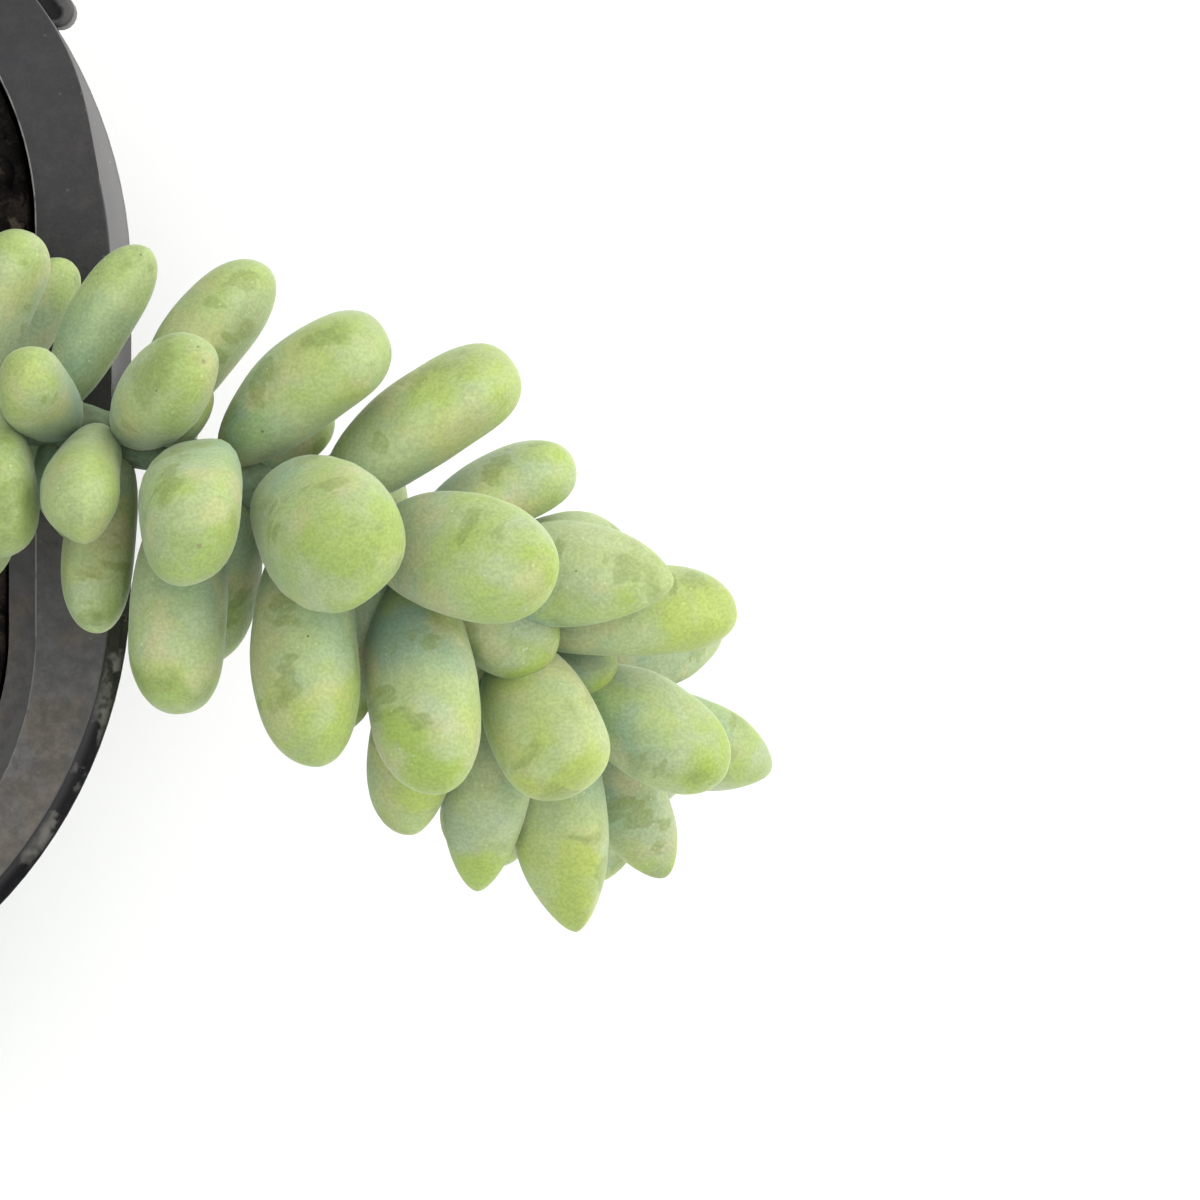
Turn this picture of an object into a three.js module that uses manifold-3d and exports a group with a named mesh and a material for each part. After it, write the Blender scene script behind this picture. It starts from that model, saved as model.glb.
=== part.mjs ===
// A burro's tail plant in its pot: a black nursery pot, squarish with soft corners, potting soil,
// and six leafy stems that rise from the soil, of which five lean over the rim and hang.
// Millimetres, +Z up. The origin is the middle of the pot's flat base. The tail that leans out
// furthest heads along +X, and the rest of the tails go round the pot from there.

import * as THREE from 'three';
import Module from 'manifold-3d';
import { mergeVertices } from 'three/addons/utils/BufferGeometryUtils.js';

const wasm = await Module();
wasm.setup();

// Driving sizes of the pot
const potHeight = 92;
const rimHalf = 55;
const openingHalf = 46.6;
const baseHalf = 38.2;
const wall = 1.2;
const floorThickness = 1.6;
const collarHeight = 13;
const collarTaper = 0.8;
const ledgeWidth = 3;
const ledgeDrop = 1.6;
const skirtDrop = 5.2;
const skirtThickness = 1;
// The straight part of each side reaches this far from the middle of that side
const rimStraight = 13;
const openingStraight = 18;
const baseStraight = 9;
const cornerSteps = 6;

// Driving sizes of the soil and of the holes that the stems stand in
const soilGap = 0.4;
const soilLevel = 79.3;
const holeClearance = 0.6;
const rootEnd = 66;
const rootGap = 0.4;

// Driving sizes of the plant
const rootRadius = 2.3;
const tipRadius = 0.9;
const goldenTurn = 137.508;
const leafBend = 20;
const leafFullest = 0.55;
const leafWidthToLength = 0.56;
const leafThicknessToLength = 0.44;
const leafClearance = 0.5;
const leafSizesTried = [1, 0.88, 0.76, 0.64, 0.52];

// Small tools

const radians = THREE.MathUtils.degToRad;
const smooth = (from, to, x) => THREE.MathUtils.smoothstep(x, from, to);

// The same draw between 0 and 1 each time, for leaf number k and a seed
function draw(k, seed) {
  const value = Math.sin(k * 12.9898 + seed * 78.233) * 43758.5453;
  return value - Math.floor(value);
}

function solidOf(geometry) {
  const bare = geometry.clone();
  bare.deleteAttribute('normal');
  bare.deleteAttribute('uv');
  const merged = mergeVertices(bare);
  return new wasm.Manifold(new wasm.Mesh({
    numProp: 3,
    vertProperties: new Float32Array(merged.attributes.position.array),
    triVerts: new Uint32Array(merged.index.array),
  }));
}

function geometryOf(solid) {
  const mesh = solid.getMesh();
  const geometry = new THREE.BufferGeometry();
  geometry.setAttribute('position', new THREE.BufferAttribute(mesh.vertProperties, 3));
  geometry.setIndex(new THREE.BufferAttribute(mesh.triVerts, 1));
  geometry.computeVertexNormals();
  return geometry;
}

// A closed skin over a row of rings with equal counts of points, from a first to a last middle point.
// Each ring runs anticlockwise as seen from the end of the row.
function loft(first, rings, last) {
  const count = rings[0].length;
  const points = [first, ...rings.flat(), last];
  const triangles = [];
  const lastRing = 1 + (rings.length - 1) * count;
  for (let k = 0; k < count; k += 1) {
    const next = (k + 1) % count;
    triangles.push(0, 1 + next, 1 + k);
    triangles.push(lastRing + k, lastRing + next, points.length - 1);
    for (let j = 0; j < rings.length - 1; j += 1) {
      const low = 1 + j * count;
      const high = low + count;
      triangles.push(low + k, low + next, high + next);
      triangles.push(low + k, high + next, high + k);
    }
  }
  const geometry = new THREE.BufferGeometry().setFromPoints(points);
  geometry.setIndex(triangles);
  return geometry;
}

// A square with round corners: half is the distance from the middle to a side,
// and straight is how far the side's straight part reaches from its middle.
function softSquare(half, straight, z) {
  const ring = [];
  const centre = new THREE.Vector2();
  for (let quarter = 0; quarter < 4; quarter += 1) {
    const middle = new THREE.Vector2(straight, straight).rotateAround(centre, quarter * Math.PI / 2);
    for (let k = 0; k <= cornerSteps; k += 1) {
      const angle = (quarter + k / cornerSteps) * Math.PI / 2;
      const x = middle.x + (half - straight) * Math.cos(angle);
      const y = middle.y + (half - straight) * Math.sin(angle);
      ring.push(new THREE.Vector3(x, y, z));
    }
  }
  return ring;
}

// How far out a point is, measured as the half width of the soft square that passes through it
function softReach(x, y, straight) {
  const dx = Math.max(Math.abs(x) - straight, 0);
  const dy = Math.max(Math.abs(y) - straight, 0);
  return Math.max(straight + Math.hypot(dx, dy), Math.abs(x), Math.abs(y));
}

// The pot: one moulded shell with a flat flange, a rolled skirt, a stacking ledge and drain holes

const ledgeZ = potHeight - collarHeight;
const ledgeHalf = openingHalf - collarTaper - ledgeWidth;

function potShell() {
  const outside = [
    softSquare(baseHalf - 0.8, baseStraight, 0),
    softSquare(baseHalf, baseStraight, 1),
    softSquare(ledgeHalf + wall + 0.2, openingStraight, ledgeZ - 3),
    softSquare(openingHalf + 0.4, openingStraight, ledgeZ - 0.6),
    softSquare(openingHalf + wall, openingStraight, potHeight - 3.1),
  ];
  const rim = [
    softSquare(rimHalf - skirtThickness, rimStraight, potHeight - 2.4),
    softSquare(rimHalf - skirtThickness, rimStraight, potHeight - skirtDrop),
    softSquare(rimHalf, rimStraight, potHeight - skirtDrop),
    softSquare(rimHalf, rimStraight, potHeight - 2.6),
    softSquare(rimHalf - 0.6, rimStraight, potHeight - 1),
    softSquare(rimHalf - 1.8, rimStraight, potHeight - 0.1),
    softSquare(openingHalf + 0.7, openingStraight, potHeight),
    softSquare(openingHalf, openingStraight, potHeight - 0.6),
  ];
  const inside = [
    softSquare(openingHalf - collarTaper, openingStraight, ledgeZ + 0.8),
    softSquare(ledgeHalf, openingStraight, ledgeZ + 0.8 - ledgeDrop),
    softSquare(baseHalf - wall - 0.1, baseStraight, floorThickness),
  ];
  const bottom = new THREE.Vector3(0, 0, 0);
  const floor = new THREE.Vector3(0, 0, floorThickness);
  return solidOf(loft(bottom, [...outside, ...rim, ...inside], floor));
}

function drainHole(x, y) {
  const radius = 4;
  const sides = 12;
  const drill = new THREE.CylinderGeometry(radius, radius, 4 * floorThickness, sides);
  drill.rotateX(Math.PI / 2);
  drill.translate(x, y, 0);
  return solidOf(drill);
}

// A slotted ear on the north-east corner of the rim, of the kind that takes a label or a hanger.
// A thin web closes the slot from below.
function slottedEar() {
  const cornerRadius = rimHalf - rimStraight;
  const slotWidth = 1;
  const barWidth = 1.5;
  const earDepth = 3.4;
  const webDepth = 0.7;
  const from = radians(33);
  const to = radians(59);
  const roundEnd = radians(1.4);
  const slotEnd = radians(2.2);
  const slotOuter = cornerRadius + slotWidth;
  const outline = new THREE.Shape();
  outline.absarc(0, 0, slotOuter + barWidth, from + roundEnd, to - roundEnd, false);
  outline.lineTo((cornerRadius - 0.5) * Math.cos(to), (cornerRadius - 0.5) * Math.sin(to));
  outline.absarc(0, 0, cornerRadius - 0.5, to, from, true);
  outline.closePath();
  const web = new THREE.ExtrudeGeometry(outline, { depth: webDepth, bevelEnabled: false, curveSegments: 5 });
  const slot = new THREE.Path();
  slot.absarc(0, 0, slotOuter, from + slotEnd, to - slotEnd, false);
  slot.absarc(0, 0, cornerRadius - 0.2, to - slotEnd, from + slotEnd, true);
  slot.closePath();
  outline.holes.push(slot);
  const bar = new THREE.ExtrudeGeometry(outline, { depth: earDepth, bevelEnabled: false, curveSegments: 5 });
  for (const piece of [web, bar]) {
    piece.translate(rimStraight, rimStraight, potHeight - skirtDrop + 0.2);
  }
  return solidOf(bar).add(solidOf(web));
}

function pot() {
  const drainReach = 24;
  let shell = potShell().add(slottedEar());
  for (const [x, y] of [[1, 0], [0, 1], [-1, 0], [0, -1]]) {
    shell = shell.subtract(drainHole(x * drainReach, y * drainReach));
  }
  return geometryOf(shell);
}

// The soil: it fills the pot to about 12 mm below the rim, a little higher on the north side

function soilTop(x, y) {
  const slope = 1.3 * y / openingHalf;
  const lumps = 0.7 * Math.sin(0.31 * x + 1.3) * Math.cos(0.27 * y - 0.4);
  const ripples = 0.4 * Math.sin(0.17 * x - 0.39 * y);
  return soilLevel + slope + lumps + ripples;
}

function soil(tails) {
  const lowHalf = baseHalf - wall - 0.1 - soilGap;
  const highHalf = ledgeHalf - soilGap;
  const edge = softSquare(highHalf, openingStraight, 0);
  const bottomZ = floorThickness + soilGap;
  const rings = [
    softSquare(lowHalf, baseStraight, bottomZ),
    softSquare(highHalf, openingStraight, ledgeZ - 2.4),
  ];
  for (const share of [1, 0.86, 0.68, 0.5, 0.3, 0.14]) {
    const settled = share === 1 ? 0.9 : 0;
    const onTop = (point) => {
      const x = point.x * share;
      const y = point.y * share;
      return new THREE.Vector3(x, y, soilTop(x, y) - settled);
    };
    rings.push(edge.map(onTop));
  }
  const middle = new THREE.Vector3(0, 0, soilTop(0, 0));
  let body = solidOf(loft(new THREE.Vector3(0, 0, bottomZ), rings, middle));
  for (const tail of tails) {
    const root = tail.stem.points[0];
    const radius = rootRadius + holeClearance;
    const depth = 30;
    const hole = new THREE.CylinderGeometry(radius, radius, depth, 12);
    hole.rotateX(Math.PI / 2);
    hole.translate(root.x, root.y, rootEnd - rootGap + depth / 2);
    body = body.subtract(solidOf(hole));
  }
  return geometryOf(body);
}

// Stems: a smooth line through a few hand-chosen points, with a frame carried along it

const stepsPerSpan = 12;

function stemAlong(route) {
  const marks = route.map((place) => new THREE.Vector3(...place));
  const curve = new THREE.CatmullRomCurve3(marks, false, 'catmullrom', 0.5);
  const points = curve.getPoints(stepsPerSpan * (route.length - 1));
  const last = points.length - 1;
  const stations = [0];
  for (let i = 1; i <= last; i += 1) {
    stations.push(stations[i - 1] + points[i].distanceTo(points[i - 1]));
  }
  const heading = points[last].clone().sub(points[0]).setZ(0).normalize();
  let back = heading.negate();
  const frames = points.map((point, i) => {
    const ahead = points[Math.min(i + 1, last)].clone().sub(points[Math.max(i - 1, 0)]).normalize();
    back = back.clone().addScaledVector(ahead, -back.dot(ahead)).normalize();
    return { point, ahead, up: back, side: back.clone().cross(ahead) };
  });
  return { points, stations, frames, length: stations[last] };
}

// The stem's frame at a distance along it
function frameAt(stem, distance) {
  const last = stem.stations.length - 1;
  let i = 0;
  while (i < last - 1 && stem.stations[i + 1] < distance) {
    i += 1;
  }
  const share = (distance - stem.stations[i]) / (stem.stations[i + 1] - stem.stations[i]);
  const a = stem.frames[i];
  const b = stem.frames[i + 1];
  const between = (key) => a[key].clone().lerp(b[key], share);
  return { point: between('point'), ahead: between('ahead'), up: between('up'), side: between('side') };
}

function stationNear(stem, place) {
  const target = new THREE.Vector3(...place);
  const distances = stem.points.map((point) => point.distanceTo(target));
  return stem.stations[distances.indexOf(Math.min(...distances))];
}

// Leaves: plump, narrow at the stem, fullest past the middle and blunt at the tip

const leafSteps = 20;

function leafFullness(share) {
  if (share <= 0 || share >= 1) {
    return 0;
  }
  const rise = Math.sin(0.5 * Math.PI * Math.min(1, share / leafFullest)) ** 0.8;
  const past = Math.max(0, share - leafFullest) / (1 - leafFullest);
  return rise * Math.sqrt(1 - past ** 2.5);
}

// The middle line of a leaf: it leaves the stem at turn degrees round it, leans towards the stem's
// tip, and bends a little further that way along its length.
function leafLine(stem, leaf) {
  const { point, ahead, up, side } = frameAt(stem, leaf.at);
  const turn = radians(leaf.turn);
  const out = up.clone().multiplyScalar(Math.cos(turn)).addScaledVector(side, Math.sin(turn));
  const across = ahead.clone().cross(out);
  const place = point.clone().add(out);
  const points = [place.clone()];
  const headings = [];
  for (let i = 0; i < leafSteps; i += 1) {
    const lean = radians(leaf.lean + leafBend * (0.5 - (i + 0.5) / leafSteps));
    const heading = ahead.clone().multiplyScalar(Math.cos(lean)).addScaledVector(out, Math.sin(lean));
    place.addScaledVector(heading, leaf.long / leafSteps);
    headings.push(heading);
    points.push(place.clone());
  }
  headings.push(headings[leafSteps - 1]);
  return { root: point, points, headings, across };
}

function leafSolid(stem, leaf) {
  const { root, points, headings, across } = leafLine(stem, leaf);
  const sides = leaf.sides;
  const swell = 1.06;
  const ring = (share) => {
    const i = Math.min(Math.floor(share * leafSteps), leafSteps - 1);
    const middle = points[i].clone().lerp(points[i + 1], share * leafSteps - i);
    const face = headings[i].clone().cross(across);
    const full = 0.5 * swell * leafFullness(share);
    const corner = (k) => {
      const angle = 2 * Math.PI * (k + 0.5) / sides;
      return middle.clone()
        .addScaledVector(across, leaf.wide * full * Math.cos(angle))
        .addScaledVector(face, leaf.thick * full * Math.sin(angle));
    };
    return Array.from({ length: sides }, (_, k) => corner(k));
  };
  return solidOf(loft(root, leaf.rings.map(ring), points[leafSteps]));
}

// Balls along a leaf, which stand for it when its room is tested
function leafBalls(stem, leaf) {
  const { points } = leafLine(stem, leaf);
  const ball = (i) => ({
    centre: points[i],
    radius: 0.25 * (leaf.wide + leaf.thick) * leafFullness(i / leafSteps),
  });
  return [7, 10, 13, 16, 19].map(ball);
}

function clearOfPot(ball) {
  const { x, y, z } = ball.centre;
  const r = ball.radius;
  if (z - r > potHeight + 0.4) {
    return true;
  }
  const skirtZ = potHeight - skirtDrop;
  const belowSkirt = z + r < skirtZ;
  const wallSlope = (openingHalf + wall - baseHalf) / skirtZ;
  const wallHalf = belowSkirt ? openingHalf + wall - wallSlope * (skirtZ - z) : rimHalf;
  if (softReach(x, y, rimStraight) - r > wallHalf + leafClearance) {
    return z - r > 1.5;
  }
  return softReach(x, y, openingStraight) + r < openingHalf - 1.2 && z - r > soilLevel + 3;
}

function ballsMeet(a, b, share, gap) {
  return a.centre.distanceTo(b.centre) < share * (a.radius + b.radius) + gap;
}

function clearOfOthers(ball, tail, tails) {
  const stemRoom = ball.radius + rootRadius + leafClearance;
  for (const other of tails) {
    if (other !== tail) {
      const meetsStem = other.stem.points.some((point) => point.distanceTo(ball.centre) < stemRoom);
      if (meetsStem || other.balls.some((b) => ballsMeet(ball, b, 1, leafClearance))) {
        return false;
      }
    }
  }
  return true;
}

function addLeaf(tail, leaf) {
  tail.leaves.push(leaf);
  tail.balls.push(...leafBalls(tail.stem, leaf));
}

// A leaf that would meet the pot, another tail or a leaf of its own tail is tried smaller,
// and left off if even the smallest has no room.
function addLeafWithRoom(tail, leaf, tails) {
  for (const size of leafSizesTried) {
    const plump = 0.35 + 0.65 * size;
    const tried = { ...leaf, long: leaf.long * size, wide: leaf.wide * plump, thick: leaf.thick * plump };
    const balls = leafBalls(tail.stem, tried);
    const free = balls.every((ball) => clearOfPot(ball) && clearOfOthers(ball, tail, tails));
    const apart = balls.slice(1).every((ball) => !tail.balls.some((b) => ballsMeet(ball, b, 0.8, 0)));
    if (free && apart) {
      addLeaf(tail, tried);
      return;
    }
  }
}

// Leaves in a spiral up the stem, each a golden turn from the last, small and close at the tip
function growLeaves(tail, tails) {
  const { from, pitch, size, seed, firstTurn } = tail.growth;
  let at = from;
  for (let k = 0; at < tail.stem.length - 1; k += 1) {
    const young = smooth(0, 30, tail.stem.length - at);
    const old = smooth(0, 22, at - from);
    const grown = (0.34 + 0.66 * young) * (0.72 + 0.28 * old);
    const long = size * grown * (0.94 + 0.12 * draw(k, seed + 1));
    const leaf = {
      at,
      turn: firstTurn + k * goldenTurn + 10 * (draw(k, seed + 2) - 0.5),
      lean: 24 + 38 * young + 8 * (1 - old) + 6 * (draw(k, seed) - 0.5),
      long,
      wide: long * leafWidthToLength,
      thick: long * leafThicknessToLength,
      sides: 5,
      rings: [0.4, 0.84],
    };
    addLeafWithRoom(tail, leaf, tails);
    at += pitch * (0.42 + 0.58 * young);
  }
}

// The tail that leans out along +X. Its leaves that show from above were measured one by one:
// at is the distance along the stem from the crest, turn is round the stem from its upper side.
const crest = [45, 1, 107.5];
const eastRoute = [
  [13, 10, rootEnd], [13, 10, 76], [13, 10, 84], [17, 8.9, 92.5], [26, 6, 100.5], [37, 2.8, 105.3], crest,
  [53.5, -0.7, 109.5], [62, -3.3, 111], [71, -7, 111], [79.7, -11.1, 109], [88, -17.2, 104],
  [92.8, -22.6, 96], [94.8, -26, 85], [95.2, -27.8, 72], [94.5, -28.5, 58],
];
const measured = (at, turn, lean, long, wide, thick) => (
  { at, turn, lean, long, wide, thick, sides: 6, rings: [0.3, 0.62, 0.88] }
);
const northRow = [
  measured(-2.4, 78, 80, 14.8, 7.6, 6.2),
  measured(-1.5, 112, 80, 15.5, 7.4, 5.6),
  measured(5.5, 82, 72, 15.9, 6.1, 5.8),
  measured(13.4, 97, 75, 18, 8.7, 7),
  measured(20.6, 62.5, 60, 18, 11, 8.4),
  measured(29.8, 76, 59, 19.8, 10.6, 8),
  measured(38.6, 99, 57, 16.4, 9.4, 7),
  measured(45, 95, 47, 14.8, 9, 7),
  measured(64.2, 81, 50, 20, 8.4, 7.2),
];
const topRow = [
  measured(7.2, 2, 92, 14, 6.8, 6),
  measured(10.2, -35, 74, 17, 7.1, 6.4),
  measured(12.6, 23, 62, 15.5, 8.7, 7.3),
  measured(19.3, -28, 77, 18, 11, 8.8),
  measured(26.1, -14, 61, 19, 12, 10.6),
  measured(35, 3, 54, 19, 10.8, 8.8),
  measured(43.4, 33, 55, 18.6, 9.4, 8.2),
  measured(49.8, 44, 56, 19, 8.3, 7.4),
  measured(49.9, -39, 66, 15.6, 9.8, 8.4),
  measured(57.5, 5, 54, 16.8, 8.5, 8),
  measured(66.5, 21, 50, 19.8, 8.6, 7.8),
  measured(15.8, 42, 76, 7, 5.8, 5),
  measured(9.8, 160, 66, 11, 6.6, 5.4),
  measured(21.3, 128, 64, 12, 7, 5.6),
  measured(41, -16, 28, 12, 8, 5),
];
const southRow = [
  measured(0, -105, 84, 13.6, 8, 6),
  measured(11.7, -95, 80, 15.7, 8.2, 6.3),
  measured(19.3, -85, 73, 20.4, 10.4, 8.4),
  measured(22.5, -125, 80, 16, 10, 7.8),
  measured(29.6, -80, 68, 21, 10.8, 9),
  measured(36, -122, 73, 17, 10, 7.8),
  measured(39.5, -66, 62, 19.5, 10.6, 8.8),
  measured(43.5, -102, 62, 21, 9.6, 7.4),
  measured(52.5, -90, 56, 21.3, 9.4, 7.4),
  measured(58.7, -61, 60, 21.2, 8.6, 7.2),
  measured(66.3, -32, 54, 17, 7.4, 6.6),
];

// The route of a tail that rises at root, goes over the rim in the given heading and hangs to low
function hangingRoute({ root, heading, reach, crestZ, low, sway }) {
  const angle = radians(heading);
  const cos = Math.cos(angle);
  const sin = Math.sin(angle);
  let rim = openingHalf;
  while (softReach(rim * cos, rim * sin, rimStraight) < rimHalf) {
    rim += 0.5;
  }
  const place = (out, z, aside) => [out * cos - aside * sin, out * sin + aside * cos, z];
  const rootOut = root[0] * cos + root[1] * sin;
  const rootAside = root[1] * cos - root[0] * sin;
  const route = [
    [...root, rootEnd],
    [...root, 76],
    [...root, 84],
    place(rootOut + 4, 92.5, 0.9 * rootAside),
    place((rootOut + rim) / 2, crestZ - 4, 0.55 * rootAside),
    place(rim - 5, crestZ, 0.25 * rootAside),
    place(rim + 6, crestZ - 2, 0),
    place(rim + 0.8 * reach, crestZ - 11, -0.3 * sway),
    place(rim + reach, crestZ - 25, -0.5 * sway),
  ];
  const drop = 16;
  for (let z = crestZ - 25 - drop; z > low - drop / 2; z -= drop) {
    const aside = -sway * (0.5 + (crestZ - z) / 100);
    route.push(place(rim + reach + 1.5 * Math.sin(0.09 * z), Math.max(z, low), aside));
  }
  return route;
}

function newTail(name, route, growth) {
  return { name, stem: stemAlong(route), growth, leaves: [], balls: [] };
}

// The tails that hang round the rest of the rim, out of the way of the first
const hanging = [
  {
    name: 'tail_north',
    root: [1, 19], heading: 90, reach: 15, crestZ: 108, low: 50, sway: 3, size: 16.5, seed: 11,
  },
  {
    name: 'tail_northwest',
    root: [-17, 11], heading: 149, reach: 14, crestZ: 110, low: 14, sway: -3, size: 17.5, seed: 23,
  },
  {
    name: 'tail_southwest',
    root: [-16, -9], heading: 208, reach: 14, crestZ: 108, low: 32, sway: 4, size: 17, seed: 41,
  },
  {
    name: 'tail_south',
    root: [0, -19], heading: 270, reach: 15, crestZ: 107, low: 22, sway: -4, size: 17, seed: 59,
  },
];

const east = newTail('tail_east', eastRoute, { from: 27, pitch: 2.3, size: 17, seed: 5, firstTurn: 50 });
const tails = [east];
for (const shape of hanging) {
  const growth = { from: 25, pitch: 2.7, size: shape.size, seed: shape.seed, firstTurn: shape.heading };
  tails.push(newTail(shape.name, hangingRoute(shape), growth));
}
const shootRoute = [
  [-3, 1, rootEnd], [-3, 1, 76], [-3, 1, 84], [-3.6, 1.8, 94], [-3.2, 3, 107], [-1, 4.5, 120], [1.5, 5, 131],
];
tails.push(newTail('young_shoot', shootRoute, { from: 22, pitch: 2.7, size: 13, seed: 71, firstTurn: 50 }));

const crestAt = stationNear(east.stem, crest);
for (const leaf of [...northRow, ...topRow, ...southRow]) {
  addLeaf(east, { ...leaf, at: crestAt + leaf.at });
}
for (const tail of tails) {
  growLeaves(tail, tails);
}

function stemSolid(stem) {
  const sides = 6;
  const spacing = 6;
  const rings = [];
  const count = stem.points.length;
  for (let i = 0; i < count; i += i + spacing < count ? spacing : Math.max(count - 1 - i, 1)) {
    const { point, up, side } = stem.frames[i];
    const radius = THREE.MathUtils.lerp(rootRadius, tipRadius, (stem.stations[i] / stem.length) ** 2);
    const corner = (k) => {
      const angle = 2 * Math.PI * k / sides;
      return point.clone()
        .addScaledVector(side, radius * Math.sin(angle))
        .addScaledVector(up, radius * Math.cos(angle));
    };
    rings.push(Array.from({ length: sides }, (_, k) => corner(-k)));
  }
  return solidOf(loft(stem.points[0], rings, stem.points[count - 1]));
}

// A tail is its stem and leaves grown together. Only the largest joined body is kept, which fills
// any hollow that the leaves seal.
function tailGeometry(tail) {
  let body = stemSolid(tail.stem);
  for (const leaf of tail.leaves) {
    body = body.add(leafSolid(tail.stem, leaf));
  }
  const bodies = body.decompose();
  const largest = bodies.reduce((best, next) => (next.volume() > best.volume() ? next : best));
  return geometryOf(largest);
}

// The assembly

const plastic = new THREE.MeshStandardMaterial({ color: 0x35353a, roughness: 0.5, metalness: 0 });
const earth = new THREE.MeshStandardMaterial({ color: 0x2a1f1a, roughness: 0.95, metalness: 0 });
const foliage = new THREE.MeshStandardMaterial({ color: 0x9db88f, roughness: 0.6, metalness: 0 });

function part(name, geometry, material) {
  const mesh = new THREE.Mesh(geometry, material);
  mesh.name = name;
  return mesh;
}

const group = new THREE.Group();
group.add(part('pot', pot(), plastic));
group.add(part('soil', soil(tails), earth));
for (const tail of tails) {
  group.add(part(tail.name, tailGeometry(tail), foliage.clone()));
}

export default group;
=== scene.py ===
# %% [markdown]
# # A burro's tail in its nursery pot
# Burro's tail is a trailing stonecrop. Its stems are set all round with plump leaves under a pale
# wax bloom, and they lean over the rim of the pot and hang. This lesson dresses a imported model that
# already holds the pot, the soil and six leafy stems at their real size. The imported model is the
# frame: it is loaded first, it is never moved, and every finer piece is made in the same place.

import math

import bmesh
import bpy
import numpy as np
from mathutils import Matrix, Vector, noise


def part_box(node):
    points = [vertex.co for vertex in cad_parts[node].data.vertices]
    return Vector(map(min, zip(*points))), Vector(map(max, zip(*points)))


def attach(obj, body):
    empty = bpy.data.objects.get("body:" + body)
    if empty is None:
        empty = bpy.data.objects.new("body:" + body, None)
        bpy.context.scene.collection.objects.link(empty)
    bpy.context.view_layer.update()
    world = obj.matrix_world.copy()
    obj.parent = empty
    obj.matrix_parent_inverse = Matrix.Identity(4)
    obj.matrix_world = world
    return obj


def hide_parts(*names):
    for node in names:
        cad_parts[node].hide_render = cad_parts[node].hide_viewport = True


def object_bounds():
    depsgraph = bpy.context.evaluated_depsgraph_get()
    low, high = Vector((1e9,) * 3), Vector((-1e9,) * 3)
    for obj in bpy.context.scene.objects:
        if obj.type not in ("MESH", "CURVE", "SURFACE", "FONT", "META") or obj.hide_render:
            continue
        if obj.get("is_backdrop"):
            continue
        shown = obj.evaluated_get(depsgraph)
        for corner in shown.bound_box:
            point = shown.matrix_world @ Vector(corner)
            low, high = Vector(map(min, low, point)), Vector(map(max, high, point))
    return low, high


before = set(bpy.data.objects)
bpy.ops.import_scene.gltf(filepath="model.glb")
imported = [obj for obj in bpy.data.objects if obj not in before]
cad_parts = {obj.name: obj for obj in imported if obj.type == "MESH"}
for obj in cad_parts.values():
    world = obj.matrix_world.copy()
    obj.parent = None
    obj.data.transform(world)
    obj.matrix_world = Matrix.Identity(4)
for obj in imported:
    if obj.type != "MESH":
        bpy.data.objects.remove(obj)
cad_low, cad_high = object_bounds()
MM = 0.001
print("frame nodes:", sorted(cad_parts))

# %% [markdown]
# ## Sizes that everything is worked out from
# The pot's outer sizes are read from the frame, in millimetres. The others are the driving sizes of
# the pot, the soil and the plant, the same values that the frame was built with, so that each fine
# piece lies on the solid it stands for.

# %% Sizes of the pot and the soil
pot_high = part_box("pot")[1]
POT_HEIGHT = round(pot_high.z / MM, 2)
RIM_HALF = round(pot_high.x / MM, 2)
OPENING_HALF = RIM_HALF - 8.4
BASE_HALF = 38.2
WALL = 1.2
FLOOR_THICKNESS = 1.6
COLLAR_HEIGHT = 13
COLLAR_TAPER = 0.8
LEDGE_WIDTH = 3
LEDGE_DROP = 1.6
LEDGE_Z = POT_HEIGHT - COLLAR_HEIGHT
LEDGE_HALF = OPENING_HALF - COLLAR_TAPER - LEDGE_WIDTH
SKIRT_DROP = 5.2
SKIRT_THICKNESS = 1
RIM_STRAIGHT = 13
OPENING_STRAIGHT = 18
BASE_STRAIGHT = 9
SOIL_LEVEL = 79.3
ROOT_END = 66
print(f"pot {2 * RIM_HALF:.0f} mm across the rim and {POT_HEIGHT:.0f} mm high")

# %% [markdown]
# ## The same draw every time
# Nature is irregular, but a model must come out alike on every run. Python's own random numbers could
# be seeded, but then one leaf more would change all that follow. A small formula of sines gives a
# number between 0 and 1 for leaf number k and a seed, with no random state to keep.

# %% A repeatable draw and a smooth step


def draw(k, seed):
    value = math.sin(k * 12.9898 + seed * 78.233) * 43758.5453
    return value - math.floor(value)


def smooth(low, high, x):
    t = min(1, max(0, (x - low) / (high - low)))
    return t * t * (3 - 2 * t)


def unit(vector):
    return vector / np.linalg.norm(vector)


def soft_reach(x, y, straight):
    """How far out a point is, as the half width of the round-cornered square through it."""
    dx = max(abs(x) - straight, 0)
    dy = max(abs(y) - straight, 0)
    return max(straight + math.hypot(dx, dy), abs(x), abs(y))


print("first draws:", [round(draw(k, 5), 3) for k in range(4)])

# %% [markdown]
# ## Stems
# A stem is a smooth line through a few given places. A frame of three directions is carried
# along it: ahead, up (away from the ground side) and side. Leaves are then placed by how far along
# the stem they grow and how far they are turned round it, which is how a botanist describes them.
# A Blender curve could draw the same line, but the leaves need its directions at any distance, so the
# line is kept as rows of numbers.

# %% A stem and the frame carried along it
STEPS_PER_SPAN = 12
ROOT_RADIUS = 2.3
TIP_RADIUS = 0.9


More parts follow.
